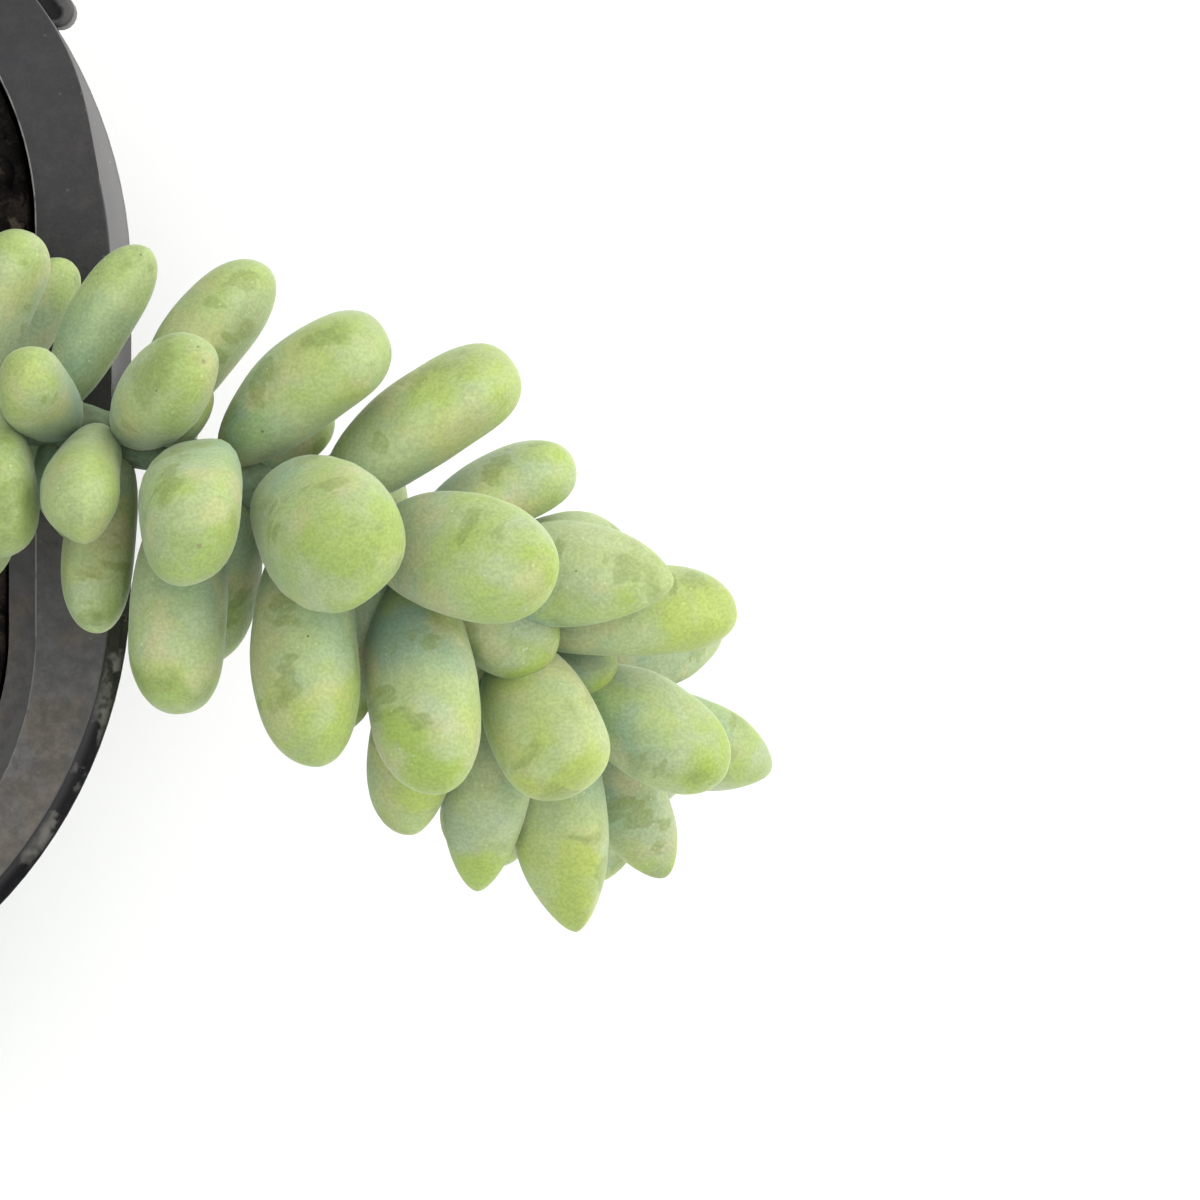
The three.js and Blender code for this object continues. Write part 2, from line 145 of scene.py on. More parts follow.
class Stem:
    def __init__(self, route):
        marks = [np.array(place, float) for place in route]
        marks = [2 * marks[0] - marks[1], *marks, 2 * marks[-1] - marks[-2]]
        points = []
        for a, b, c, d in zip(marks, marks[1:], marks[2:], marks[3:]):
            for step in range(STEPS_PER_SPAN):
                t = step / STEPS_PER_SPAN
                bend = (2 * a - 5 * b + 4 * c - d) * t**2 + (3 * b - a - 3 * c + d) * t**3
                points.append(0.5 * (2 * b + (c - a) * t + bend))
        points.append(marks[-2])
        self.points = np.array(points)
        gaps = np.linalg.norm(np.diff(self.points, axis=0), axis=1)
        self.stations = np.concatenate([[0], np.cumsum(gaps)])
        self.length = self.stations[-1]
        last = len(points) - 1
        back = self.points[0] - self.points[last]
        back = unit(np.array([back[0], back[1], 0]))
        aheads = []
        ups = []
        for i in range(last + 1):
            ahead = unit(self.points[min(i + 1, last)] - self.points[max(i - 1, 0)])
            back = unit(back - ahead * back.dot(ahead))
            aheads.append(ahead)
            ups.append(back)
        self.aheads = np.array(aheads)
        self.ups = np.array(ups)
        self.sides = np.cross(self.ups, self.aheads)

    def at(self, distance):
        """The stem's point, ahead, up and side at a distance along it."""
        i = int(np.searchsorted(self.stations, distance, side="left")) - 1
        i = min(max(i, 0), len(self.stations) - 2)
        share = (distance - self.stations[i]) / (self.stations[i + 1] - self.stations[i])
        rows = (self.points, self.aheads, self.ups, self.sides)
        return [row[i] + (row[i + 1] - row[i]) * share for row in rows]

    def radius(self, distance):
        return ROOT_RADIUS + (TIP_RADIUS - ROOT_RADIUS) * (distance / self.length) ** 2


# %% Where the first tail and the shoot run
FOOT_HEIGHTS = (ROOT_END, 76, 84)
FIRST_BEND_Z = 92.5
CREST = (45, 1, 107.5)


def straight_foot(root):
    """Each stem starts straight up, in its hole in the soil."""
    return [(*root, z) for z in FOOT_HEIGHTS]


EAST_ROUTE = [
    *straight_foot((13, 10)), (17, 8.9, FIRST_BEND_Z), (26, 6, 100.5), (37, 2.8, 105.3), CREST,
    (53.5, -0.7, 109.5), (62, -3.3, 111), (71, -7, 111), (79.7, -11.1, 109), (88, -17.2, 104),
    (92.8, -22.6, 96), (94.8, -26, 85), (95.2, -27.8, 72), (94.5, -28.5, 58),
]
SHOOT_ROUTE = [*straight_foot((-3, 1)), (-3.6, 1.8, 94), (-3.2, 3, 107), (-1, 4.5, 120), (1.5, 5, 131)]
print("the first tail is", round(Stem(EAST_ROUTE).length), "mm long")

# %% Where the hanging tails run
HANGING_STEP = 16


def hanging_route(root, heading, reach, crest_z, low, sway):
    """A tail that rises at root, goes over the rim in the given heading and hangs down to low."""
    cos = math.cos(math.radians(heading))
    sin = math.sin(math.radians(heading))
    rim = OPENING_HALF
    while soft_reach(rim * cos, rim * sin, RIM_STRAIGHT) < RIM_HALF:
        rim += 0.5

    def place(out, z, aside):
        return (out * cos - aside * sin, out * sin + aside * cos, z)

    root_out = root[0] * cos + root[1] * sin
    root_aside = root[1] * cos - root[0] * sin
    route = [
        *straight_foot(root),
        place(root_out + 4, FIRST_BEND_Z, 0.9 * root_aside),
        place((root_out + rim) / 2, crest_z - 4, 0.55 * root_aside),
        place(rim - 5, crest_z, 0.25 * root_aside),
        place(rim + 6, crest_z - 2, 0),
        place(rim + 0.8 * reach, crest_z - 11, -0.3 * sway),
        place(rim + reach, crest_z - 25, -0.5 * sway),
    ]
    z = crest_z - 25 - HANGING_STEP
    while z > low - HANGING_STEP / 2:
        aside = -sway * (0.5 + (crest_z - z) / 100)
        route.append(place(rim + reach + 1.5 * math.sin(0.09 * z), max(z, low), aside))
        z -= HANGING_STEP
    return route


# %% [markdown]
# ## Leaves
# A leaf is narrow where it joins the stem, fullest past the middle and blunt at its tip. It leaves
# the stem at an angle, leans towards the stem's tip and bends a little further that way. One leaf
# could be modelled and copied, but copies look alike. So each leaf's own middle line is walked in
# short steps, and the fullness gives its half width at each share of the length.

# %% The middle line and the fullness of a leaf
LEAF_STEPS = 20
LEAF_BEND = 20
LEAF_FULLEST = 0.55


def leaf_fullness(share, fullest=LEAF_FULLEST, slimness=0.8, bluntness=2.5, taper=0.5):
    if share <= 0 or share >= 1:
        return 0
    rise = math.sin(0.5 * math.pi * min(1, share / fullest)) ** slimness
    past = max(0, share - fullest) / (1 - fullest)
    return rise * (1 - past**bluntness) ** taper


def leaf_line(stem, leaf):
    point, ahead, up, side = stem.at(leaf["at"])
    turn = math.radians(leaf["turn"])
    out = up * math.cos(turn) + side * math.sin(turn)
    across = np.cross(ahead, out)
    place = point + out
    points = [place]
    headings = []
    for i in range(LEAF_STEPS):
        lean = math.radians(leaf["lean"] + LEAF_BEND * (0.5 - (i + 0.5) / LEAF_STEPS))
        heading = ahead * math.cos(lean) + out * math.sin(lean)
        place = place + heading * (leaf["long"] / LEAF_STEPS)
        headings.append(heading)
        points.append(place)
    headings.append(headings[-1])
    return point, np.array(points), np.array(headings), across


# %% [markdown]
# ## Room for each leaf
# Leaves of a crowded stem press against each other but don't pass through. Blender's physics could
# push them apart, but it is slow and hard to repeat. So each leaf is tested as a row of balls. It must
# be clear of the pot and of the other tails, and may only nestle against the leaves of its own. A leaf
# with no room is tried smaller, and left off if even the smallest has none.

# %% Balls that stand for a leaf
BALL_STEPS = (7, 10, 13, 16, 19)


def leaf_balls(stem, leaf):
    points = leaf_line(stem, leaf)[1]
    half = 0.25 * (leaf["wide"] + leaf["thick"])
    return [(*points[i], half * leaf_fullness(i / LEAF_STEPS)) for i in BALL_STEPS]


# %% What a ball must be clear of
LEAF_CLEARANCE = 0.5


def clear_of_pot(ball):
    x, y, z, r = ball
    if z - r > POT_HEIGHT + 0.4:
        return True
    skirt_z = POT_HEIGHT - SKIRT_DROP
    wall_slope = (OPENING_HALF + WALL - BASE_HALF) / skirt_z
    wall_half = OPENING_HALF + WALL - wall_slope * (skirt_z - z) if z + r < skirt_z else RIM_HALF
    if soft_reach(x, y, RIM_STRAIGHT) - r > wall_half + LEAF_CLEARANCE:
        return z - r > 1.5
    return soft_reach(x, y, OPENING_STRAIGHT) + r < OPENING_HALF - 1.2 and z - r > SOIL_LEVEL + 3


def balls_meet(ball, balls, share, gap):
    if not balls:
        return False
    rows = np.array(balls)
    far = np.sqrt(((rows[:, :3] - ball[:3]) ** 2).sum(axis=1))
    return bool((far < share * (rows[:, 3] + ball[3]) + gap).any())


def clear_of_others(ball, tail, tails):
    stem_room = ball[3] + ROOT_RADIUS + LEAF_CLEARANCE
    for other in tails:
        if other is tail:
            continue
        far = np.sqrt(((other["stem"].points - ball[:3]) ** 2).sum(axis=1))
        if far.min() < stem_room or balls_meet(ball, other["balls"], 1, LEAF_CLEARANCE):
            return False
    return True


# %% Find room for a leaf
SIZES_TRIED = (1, 0.88, 0.76, 0.64, 0.52)


def add_leaf_with_room(tail, leaf, tails):
    for size in SIZES_TRIED:
        plump = 0.35 + 0.65 * size
        tried = dict(leaf, long=leaf["long"] * size, wide=leaf["wide"] * plump, thick=leaf["thick"] * plump)
        balls = leaf_balls(tail["stem"], tried)
        free = all(clear_of_pot(ball) and clear_of_others(ball, tail, tails) for ball in balls)
        if free and not any(balls_meet(ball, tail["balls"], 0.8, 0) for ball in balls[1:]):
            tail["leaves"].append(tried)
            tail["balls"] += balls
            return


# %% [markdown]
# ## The spiral
# Each leaf grows a golden turn, about 137.5 degrees, after the last, so that no leaf shades the one
# below. Leaves set by chance would leave bare places and crowds, which this turn never does. The
# youngest leaves at the tip are small, close together and still lean along the stem.

# %% Leaves in a spiral up the stem
GOLDEN_TURN = 137.508
LEAF_WIDTH_TO_LENGTH = 0.56
LEAF_THICKNESS_TO_LENGTH = 0.44
SPIRAL_ENDS = ("round", "blunt", "round", "pointed")


def grow_leaves(tail, tails):
    start, pitch, size, seed, first_turn = tail["growth"]
    length = tail["stem"].length
    at = start
    k = 0
    while at < length - 1:
        young = smooth(0, 30, length - at)
        old = smooth(0, 22, at - start)
        grown = (0.34 + 0.66 * young) * (0.72 + 0.28 * old)
        long = size * grown * (0.94 + 0.12 * draw(k, seed + 1))
        leaf = {
            "at": at,
            "turn": first_turn + k * GOLDEN_TURN + 10 * (draw(k, seed + 2) - 0.5),
            "lean": 24 + 38 * young + 8 * (1 - old) + 6 * (draw(k, seed) - 0.5),
            "long": long,
            "wide": long * LEAF_WIDTH_TO_LENGTH,
            "thick": long * LEAF_THICKNESS_TO_LENGTH,
            "end": SPIRAL_ENDS[int(len(SPIRAL_ENDS) * draw(k, seed + 3))],
        }
        add_leaf_with_room(tail, leaf, tails)
        at += pitch * (0.42 + 0.58 * young)
        k += 1


# %% [markdown]
# ## Leaves that show from above
# The tail that leans out towards +X is seen from straight above, so its upper leaves are set one by
# one: how far along from the crest of the stem, the turn round it, the lean, the length, width and
# thickness, and how the leaf ends. The spiral fills in the rest.

# %% The measured leaves of the first tail
NORTH_ROW = [
    (-2.4, 78, 80, 14.8, 7.6, 6.2, "blunt"),
    (-1.5, 112, 80, 15.5, 7.4, 5.6, "round"),
    (5.5, 82, 72, 15.9, 6.1, 5.8, "round"),
    (13.4, 97, 75, 18, 8.7, 7, "round"),
    (20.6, 62.5, 60, 18, 11, 8.4, "blunt"),
    (29.8, 76, 59, 19.8, 10.6, 8, "blunt"),
    (38.6, 99, 57, 16.4, 9.4, 7, "blunt"),
    (45, 95, 47, 14.8, 9, 7, "blunt"),
    (64.2, 81, 50, 20, 8.4, 7.2, "round"),
]
TOP_ROW = [
    (7.2, 2, 92, 14, 6.8, 6, "blunt"),
    (10.2, -35, 74, 17, 7.1, 6.4, "blunt"),
    (12.6, 23, 62, 15.5, 8.7, 7.3, "round"),
    (19.3, -28, 77, 18, 11, 8.8, "blunt"),
    (26.1, -14, 61, 19, 12, 10.6, "blunt"),
    (35, 3, 54, 19, 10.8, 8.8, "round"),
    (43.4, 33, 55, 18.6, 9.4, 8.2, "pointed"),
    (49.8, 44, 56, 19, 8.3, 7.4, "round"),
    (49.9, -39, 66, 15.6, 9.8, 8.4, "blunt"),
    (57.5, 5, 54, 16.8, 8.5, 8, "round"),
    (66.5, 21, 50, 19.8, 8.6, 7.8, "pointed"),
    (15.8, 42, 76, 7, 5.8, 5, "round"),
    (9.8, 160, 66, 11, 6.6, 5.4, "round"),
    (21.3, 128, 64, 12, 7, 5.6, "round"),
    (41, -16, 28, 12, 8, 5, "round"),
]
SOUTH_ROW = [
    (0, -105, 84, 13.6, 8, 6, "round"),
    (11.7, -95, 80, 15.7, 8.2, 6.3, "round"),
    (19.3, -85, 73, 20.4, 10.4, 8.4, "blunt"),
    (22.5, -125, 80, 16, 10, 7.8, "round"),
    (29.6, -80, 68, 21, 10.8, 9, "round"),
    (36, -122, 73, 17, 10, 7.8, "round"),
    (39.5, -66, 62, 19.5, 10.6, 8.8, "round"),
    (43.5, -102, 62, 21, 9.6, 7.4, "round"),
    (52.5, -90, 56, 21.3, 9.4, 7.4, "pointed"),
    (58.7, -61, 60, 21.2, 8.6, 7.2, "pointed"),
    (66.3, -32, 54, 17, 7.4, 6.6, "pointed"),
]
MEASURED_LEAVES = NORTH_ROW + TOP_ROW + SOUTH_ROW
print(len(MEASURED_LEAVES), "leaves are measured")

# %% [markdown]
# ## The whole plant
# Four more tails hang round the rest of the rim, and a young shoot stands in the middle. The measured
# leaves are set first, and then the spirals grow where there is room. Last comes one small leaf that
# closes a gap between three others, as it would on the plant.

# %% Set out the six stems
HANGING = [
    ("tail_north", (1, 19), 90, 15, 108, 50, 3, 16.5, 11),
    ("tail_northwest", (-17, 11), 149, 14, 110, 14, -3, 17.5, 23),
    ("tail_southwest", (-16, -9), 208, 14, 108, 32, 4, 17, 41),
    ("tail_south", (0, -19), 270, 15, 107, 22, -4, 17, 59),
]


def new_tail(name, route, growth):
    return {"name": name, "stem": Stem(route), "growth": growth, "leaves": [], "balls": []}


east = new_tail("tail_east", EAST_ROUTE, (27, 2.3, 17, 5, 50))
tails = [east]
for name, root, heading, reach, crest_z, low, sway, size, seed in HANGING:
    route = hanging_route(root, heading, reach, crest_z, low, sway)
    tails.append(new_tail(name, route, (25, 2.7, size, seed, heading)))
tails.append(new_tail("young_shoot", SHOOT_ROUTE, (22, 2.7, 13, 71, 50)))
print("stem lengths in mm:", [round(tail["stem"].length) for tail in tails])

# %% Grow the leaves
crest_gaps = np.linalg.norm(east["stem"].points - np.array(CREST), axis=1)
crest_at = east["stem"].stations[int(np.argmin(crest_gaps))]
LEAF_WORDS = ("at", "turn", "lean", "long", "wide", "thick", "end")
SMALL_LEAF = (54.5, 24, 40, 6.6, 5.6, 4.2, "round")


def measured(row):
    leaf = dict(zip(LEAF_WORDS, row))
    leaf["at"] += crest_at
    return leaf


for row in MEASURED_LEAVES:
    leaf = measured(row)
    east["leaves"].append(leaf)
    east["balls"] += leaf_balls(east["stem"], leaf)
for tail in tails:
    grow_leaves(tail, tails)
east["leaves"].append(measured(SMALL_LEAF))
print("leaves:", {tail["name"]: len(tail["leaves"]) for tail in tails})

# %% [markdown]
# ## From numbers to a mesh
# A mesh is points and the faces between them. Modifiers could round a rougher shape, but a skin over
# a row of rings puts every width and height exactly where the numbers say. It serves for leaves,
# stems and the pot alike, so one helper makes its faces. Each piece also carries plain numbers on its
# points, such as how far along its leaf a point lies, and the materials read those.

# %% A skin over rings


def ring_skin(rings, first=None, last=None):
    """Points and faces of the skin over rings of equal count, closed to a point at either end if given."""
    count = rings.shape[1]
    points = rings.reshape(-1, 3)
    k = np.arange(count)
    after = (k + 1) % count
    faces = []
    for j in range(len(rings) - 1):
        low = j * count
        high = low + count
        faces += np.stack([low + k, low + after, high + after, high + k], axis=1).tolist()
    if first is not None:
        faces += np.stack([after, k, np.full(count, len(points))], axis=1).tolist()
        points = np.vstack([points, first])
    if last is not None:
        end = (len(rings) - 1) * count
        faces += np.stack([end + k, end + after, np.full(count, len(points))], axis=1).tolist()
        points = np.vstack([points, last])
    return points, faces


# %% A mesh object from skins


def mesh_object(name, skins, materials, sharp_degrees=None):
    """One object from skins of (points in mm, faces, material number, {number on the points: values})."""
    points = []
    faces = []
    slots = []
    numbers = {}
    start = 0
    for skin_points, skin_faces, slot, extra in skins:
        points.append(skin_points)
        faces += [[corner + start for corner in face] for face in skin_faces]
        slots += [slot] * len(skin_faces)
        for key, values in extra.items():
            numbers.setdefault(key, []).append((start, values))
        start += len(skin_points)
    points = np.vstack(points) * MM
    mesh = bpy.data.meshes.new(name)
    mesh.from_pydata(points.tolist(), [], faces)
    for key, rows in numbers.items():
        whole = np.zeros(len(points), np.float32)
        for begin, values in rows:
            whole[begin : begin + len(values)] = values
        mesh.attributes.new(key, "FLOAT", "POINT").data.foreach_set("value", whole)
    for material in materials:
        mesh.materials.append(material)
    mesh.polygons.foreach_set("material_index", np.array(slots, np.int32))
    mesh.polygons.foreach_set("use_smooth", np.ones(len(faces), bool))
    if sharp_degrees:
        mesh.set_sharp_from_angle(angle=math.radians(sharp_degrees))
    mesh.update()
    piece = bpy.data.objects.new(name, mesh)
    bpy.context.scene.collection.objects.link(piece)
    return piece


def triangles(piece):
    return sum(len(face.vertices) - 2 for face in piece.data.polygons)


# %% [markdown]
# ## Materials made of nodes
# Every finish here is worked out by nodes from the place on the piece, so it needs no image and can
# be made larger or smaller at will. A short helper adds a node, sets its inputs and links it.

# %% A helper for node trees


class Nodes:
    """Adds nodes to one tree. A value that is a socket is linked, and any other is set."""

    def __init__(self, tree):
        self.tree = tree
        tree.nodes.clear()

    def add(self, kind, settings=None, **inputs):
        node = self.tree.nodes.new(kind)
        for key, value in (settings or {}).items():
            setattr(node, key, value)
        for key, value in inputs.items():
            name = int(key[1:]) if key[0] == "i" and key[1:].isdigit() else key.replace("_", " ")
            socket = node.inputs[name]
            if isinstance(value, bpy.types.NodeSocket):
                self.tree.links.new(value, socket)
            else:
                socket.default_value = value
        return node

    def maths(self, operation, a, b=0.0, c=0.0, clamp=False):
        settings = {"operation": operation, "use_clamp": clamp}
        return self.add("ShaderNodeMath", settings, i0=a, i1=b, i2=c).outputs[0]

    def between(self, value, low, high, out_low=0.0, out_high=1.0):
        """Maps low..high smoothly to out_low..out_high."""
        settings = {"interpolation_type": "SMOOTHSTEP"}
        inputs = {"Value": value, "From_Min": low, "From_Max": high, "To_Min": out_low, "To_Max": out_high}
        return self.add("ShaderNodeMapRange", settings, **inputs).outputs["Result"]

    def mix(self, share, a, b, blend="MIX"):
        settings = {"data_type": "RGBA", "blend_type": blend}
        return self.add("ShaderNodeMix", settings, i0=share, i6=a, i7=b).outputs[2]

    def number(self, name):
        return self.add("ShaderNodeAttribute", {"attribute_name": name}).outputs["Fac"]

    def noise(self, place, scale, detail=2.0, roughness=0.5, distortion=0.0):
        """Soft noise between 0 and 1, with scale in features a metre."""
        inputs = {"Vector": place, "Scale": scale, "Detail": detail, "Roughness": roughness}
        return self.add("ShaderNodeTexNoise", None, Distortion=distortion, **inputs).outputs["Fac"]

    def moved(self, place, shift):
        return self.add("ShaderNodeVectorMath", {"operation": "ADD"}, i0=place, i1=shift).outputs[0]

    def stretched(self, place, scale):
        return self.add("ShaderNodeMapping", None, Vector=place, Scale=scale).outputs[0]

    def patches(self, place, shift, scale, low, high, most=1.0):
        """Soft patches that rise from 0 to most where the shifted noise goes from low to high."""
        return self.between(self.noise(self.moved(place, shift), scale), low, high, 0.0, most)

    def cells(self, place, scale):
        """How far the nearest of many scattered points is, with scale in points a metre."""
        return self.add("ShaderNodeTexVoronoi", None, Vector=place, Scale=scale).outputs["Distance"]

    def bump(self, height, distance, strength):
        inputs = {"Height": height, "Distance": distance, "Strength": strength}
        return self.add("ShaderNodeBump", None, **inputs).outputs["Normal"]


# %% A new material and its surface


def new_material(name):
    material = bpy.data.materials.new(name)
    material.use_nodes = True
    nodes = Nodes(material.node_tree)
    place = nodes.add("ShaderNodeTexCoord").outputs["Object"]
    return material, nodes, place


def finish_material(nodes, **inputs):
    surface = nodes.add("ShaderNodeBsdfPrincipled", None, **inputs).outputs["BSDF"]
    nodes.add("ShaderNodeOutputMaterial", None, Surface=surface)


# %% [markdown]
# ## The leaf's finish
# The leaf itself is yellow-green and juicy. A powdery wax bloom lies over it and makes it pale and
# greyish. The bloom looks cool in soft patches. Towards the base of the leaf, where it meets the stem,
# the green is made cooler and darker, which is partly bloom and partly painted shade. The bloom is worn
# thin in soft patches towards the tip, and a few smudges with toothed edges show where leaves rubbed.
# Leaves far from the stem's tip, near the pot, are a duller green, and they are also made darker as
# painted shade. The side of each leaf that faces back towards the stem's root is made darker too, as
# painted shade. So the colour is a mix of greens, and the shares come from how far along the leaf a
# point lies, a tone and an age for each leaf, and soft noise. Smudges are drawn in the leaf's own
# directions, so each leaf carries three numbers for its own place. Light goes a little way into the
# leaf, which subsurface scattering gives, and sheen gives the powder its pale rim.

# %% Leaf colours
BLOOM_GREEN = (0.425, 0.488, 0.285, 1)
# Cool bloom in soft patches, and the cooler, darker painted shade at each leaf's base.
COOL_BLOOM_AND_BASE_SHADE = (0.26, 0.38, 0.285, 1)
WARM_BLOOM = (0.515, 0.48, 0.27, 1)
FRESH_GREEN = (0.345, 0.46, 0.078, 1)
YELLOW_GREEN = (0.40, 0.475, 0.11, 1)
OLIVE_GREEN = (0.225, 0.285, 0.08, 1)
PALE_SPECK = (0.66, 0.70, 0.48, 1)
PORE_BROWN = (0.07, 0.065, 0.03, 1)
TIP_BROWN = (0.17, 0.15, 0.06, 1)
# Painted shade: how much darker the leaves near the pot are made.
NEAR_POT_PAINTED_SHADE = (0.84, 0.845, 0.76, 1)
OLDER_GREEN = (0.275, 0.395, 0.095, 1)


# %% Worn patches and smudges


def worn_share(nodes, place, along, tone):
    """How much of the bloom is gone, from 0 to 1."""
    blotches = nodes.between(nodes.noise(place, 200, 3), 0.38, 0.64, 0.08, 0.9)
    islands = nodes.patches(place, (0.31, 0.12, 0.57), 150, 0.54, 0.68)
    worn = nodes.maths("MULTIPLY", nodes.between(along, 0.30, 0.95), blotches)
    worn = nodes.maths("MULTIPLY_ADD", islands, 0.42, worn)
    worn = nodes.maths("MULTIPLY_ADD", nodes.between(along, 0.74, 1.0), 0.28, worn)
    return nodes.maths("MULTIPLY_ADD", nodes.between(tone, 0.3, 1.0), 0.24, worn, clamp=True)


def smudge_share(nodes):
    """Toothed smudges, in the leaf's own directions."""
    own = nodes.add(
        "ShaderNodeCombineXYZ",
        None,
        X=nodes.number("leaf_across"),
        Y=nodes.number("leaf_ahead"),
        Z=nodes.number("leaf_deep"),
    ).outputs["Vector"]
    field = nodes.noise(own, 0.19, 1, 0.4)
    teeth = nodes.noise(nodes.stretched(own, (0.5, 1.6, 0.5)), 0.7, 1, 0.5)
    edge = nodes.maths("MULTIPLY_ADD", teeth, 0.22, field)
    return nodes.maths("MULTIPLY", nodes.between(edge, 0.76, 0.80), nodes.between(edge, 0.98, 0.84))


# %% The leaf's material


def leaf_material():
    material, nodes, place = new_material("leaf_bloom")
    along = nodes.number("along")
    tone = nodes.number("tone")
    worn = worn_share(nodes, place, along, tone)
    cool_patches = nodes.patches(place, (0.8, 0.3, 0.1), 130, 0.40, 0.66)
    # Partly painted shade: towards its base, where it meets the stem, the leaf is made a cooler and darker
    # green.
    painted_base_shade = nodes.between(along, 0.55, 0.0, 0.0, 0.45)
    cool_bloom_and_base_shade = nodes.maths("MULTIPLY_ADD", cool_patches, 0.75, painted_base_shade)
    cool_bloom_and_base_shade = nodes.maths("MULTIPLY", cool_bloom_and_base_shade, nodes.between(along, 0.95, 0.35, 0.25, 1.0), clamp=True)
    bloom = nodes.mix(cool_bloom_and_base_shade, BLOOM_GREEN, COOL_BLOOM_AND_BASE_SHADE)
    warm = nodes.patches(place, (0.2, 0.9, 0.4), 170, 0.5, 0.66, 0.65)
    bloom = nodes.mix(warm, bloom, WARM_BLOOM)
    fresh = nodes.mix(nodes.between(tone, 0.55, 1.0, 0.0, 0.7), FRESH_GREEN, YELLOW_GREEN)
    age_and_painted_shade = nodes.number("age_and_painted_shade")
    fresh = nodes.mix(nodes.maths("MULTIPLY", age_and_painted_shade, 0.6), fresh, OLDER_GREEN)
    worn_through = nodes.maths("MULTIPLY", worn, nodes.between(age_and_painted_shade, 0.0, 1.0, 0.88, 0.62))
    colour = nodes.mix(worn_through, bloom, fresh)
    olive = nodes.patches(place, (0.5, 0.5, 0.9), 190, 0.58, 0.70, 0.5)
    colour = nodes.mix(olive, colour, OLIVE_GREEN)
    smudge = nodes.maths("MULTIPLY", smudge_share(nodes), 0.5)
    smudge = nodes.maths("MULTIPLY", smudge, nodes.between(along, 0.15, 0.4))
    colour = nodes.mix(smudge, colour, OLIVE_GREEN)

    grain = nodes.noise(place, 3400, 1, 0.6)
    mottle = nodes.noise(place, 850, 1, 0.5)
    colour = nodes.mix(1.0, colour, nodes.between(grain, 0.3, 0.7, 0.90, 1.09), "MULTIPLY")
    colour = nodes.mix(1.0, colour, nodes.between(mottle, 0.3, 0.7, 0.965, 1.03), "MULTIPLY")
    # Painted shade: each leaf is made up to 12 per cent darker on the side of its section that faces back
    # towards the stem's root.
    colour = nodes.mix(1.0, colour, nodes.between(nodes.number("lit_side_share"), 0.0, 0.6, 0.88, 1.0), "MULTIPLY")
    # Painted shade: leaves far from the stem's tip, near the pot, are made darker as well as a duller
    # green.
    colour = nodes.mix(age_and_painted_shade, colour, nodes.mix(1.0, colour, NEAR_POT_PAINTED_SHADE, "MULTIPLY"))
    some = nodes.between(nodes.noise(place, 95, 1), 0.48, 0.56)
    pale = nodes.maths("MULTIPLY", nodes.between(nodes.cells(place, 1000), 0.14, 0.06, 0.0, 0.36), some)
    colour = nodes.mix(pale, colour, PALE_SPECK)
    pores = nodes.maths("MULTIPLY", nodes.between(nodes.cells(place, 340), 0.05, 0.03, 0.0, 0.7), some)
    colour = nodes.mix(pores, colour, PORE_BROWN)
    colour = nodes.mix(nodes.between(nodes.number("tip_far"), 0.34, 0.12, 0.0, 0.55), colour, TIP_BROWN)

    powder = nodes.maths("MULTIPLY_ADD", mottle, 0.6, nodes.maths("MULTIPLY", grain, 0.4))
    finish_material(
        nodes,
        Base_Color=colour,
        Roughness=nodes.between(worn, 0.0, 1.0, 0.64, 0.5),
        Normal=nodes.bump(powder, 0.00014, 0.3),
        Subsurface_Weight=0.2,
        Subsurface_Radius=(0.7, 1.0, 0.3),
        Subsurface_Scale=0.002,
        Specular_IOR_Level=0.3,
        Sheen_Weight=0.2,
        Sheen_Roughness=0.4,
        Sheen_Tint=(0.84, 0.93, 0.90, 1),
    )
    return material


leaf_bloom = leaf_material()
print("made", leaf_bloom.name)

# %% [markdown]
# ## The stem's finish
# The stem is pale grey-green where it is young and corky brown where it is old, with a darker ring
# under each leaf cushion. One plain green would do where leaves hide the stem, but it shows in the
# gaps and at the bends. So two numbers on its points, how far along they lie and how near a scar is,
# share out three colours, and noise makes the change uneven.

# %% Stem material
YOUNG_STEM = (0.18, 0.25, 0.15, 1)
CORKY_STEM = (0.17, 0.17, 0.10, 1)
STEM_SCAR = (0.10, 0.105, 0.06, 1)


def stem_material():
    material, nodes, place = new_material("stem_skin")
    along = nodes.number("along")
    scar = nodes.number("scar")
    blotches = nodes.noise(place, 260, 3, 0.6)
    ridges = nodes.noise(place, 1500, 3, 0.65)
    corky = nodes.maths("SUBTRACT", nodes.between(along, 0.6, 0.1), 0.45)
    corky = nodes.maths("MULTIPLY_ADD", nodes.between(blotches, 0.5, 0.7), 0.6, corky, clamp=True)
    colour = nodes.mix(corky, YOUNG_STEM, CORKY_STEM)
    colour = nodes.mix(nodes.maths("MULTIPLY", scar, 0.7, clamp=True), colour, STEM_SCAR)
    colour = nodes.mix(1.0, colour, nodes.between(ridges, 0.25, 0.75, 0.8, 1.12), "MULTIPLY")
    height = nodes.maths("ADD", ridges, nodes.maths("MULTIPLY", scar, -0.6))
    finish_material(
        nodes,
        Base_Color=colour,
        Roughness=nodes.between(blotches, 0.3, 0.7, 0.6, 0.8),
        Normal=nodes.bump(height, 0.0003, 0.5),
        Subsurface_Weight=0.1,
        Subsurface_Radius=(0.8, 1.0, 0.4),
        Subsurface_Scale=0.001,
        Specular_IOR_Level=0.3,
    )
    return material


stem_skin = stem_material()
print("made", stem_skin.name)

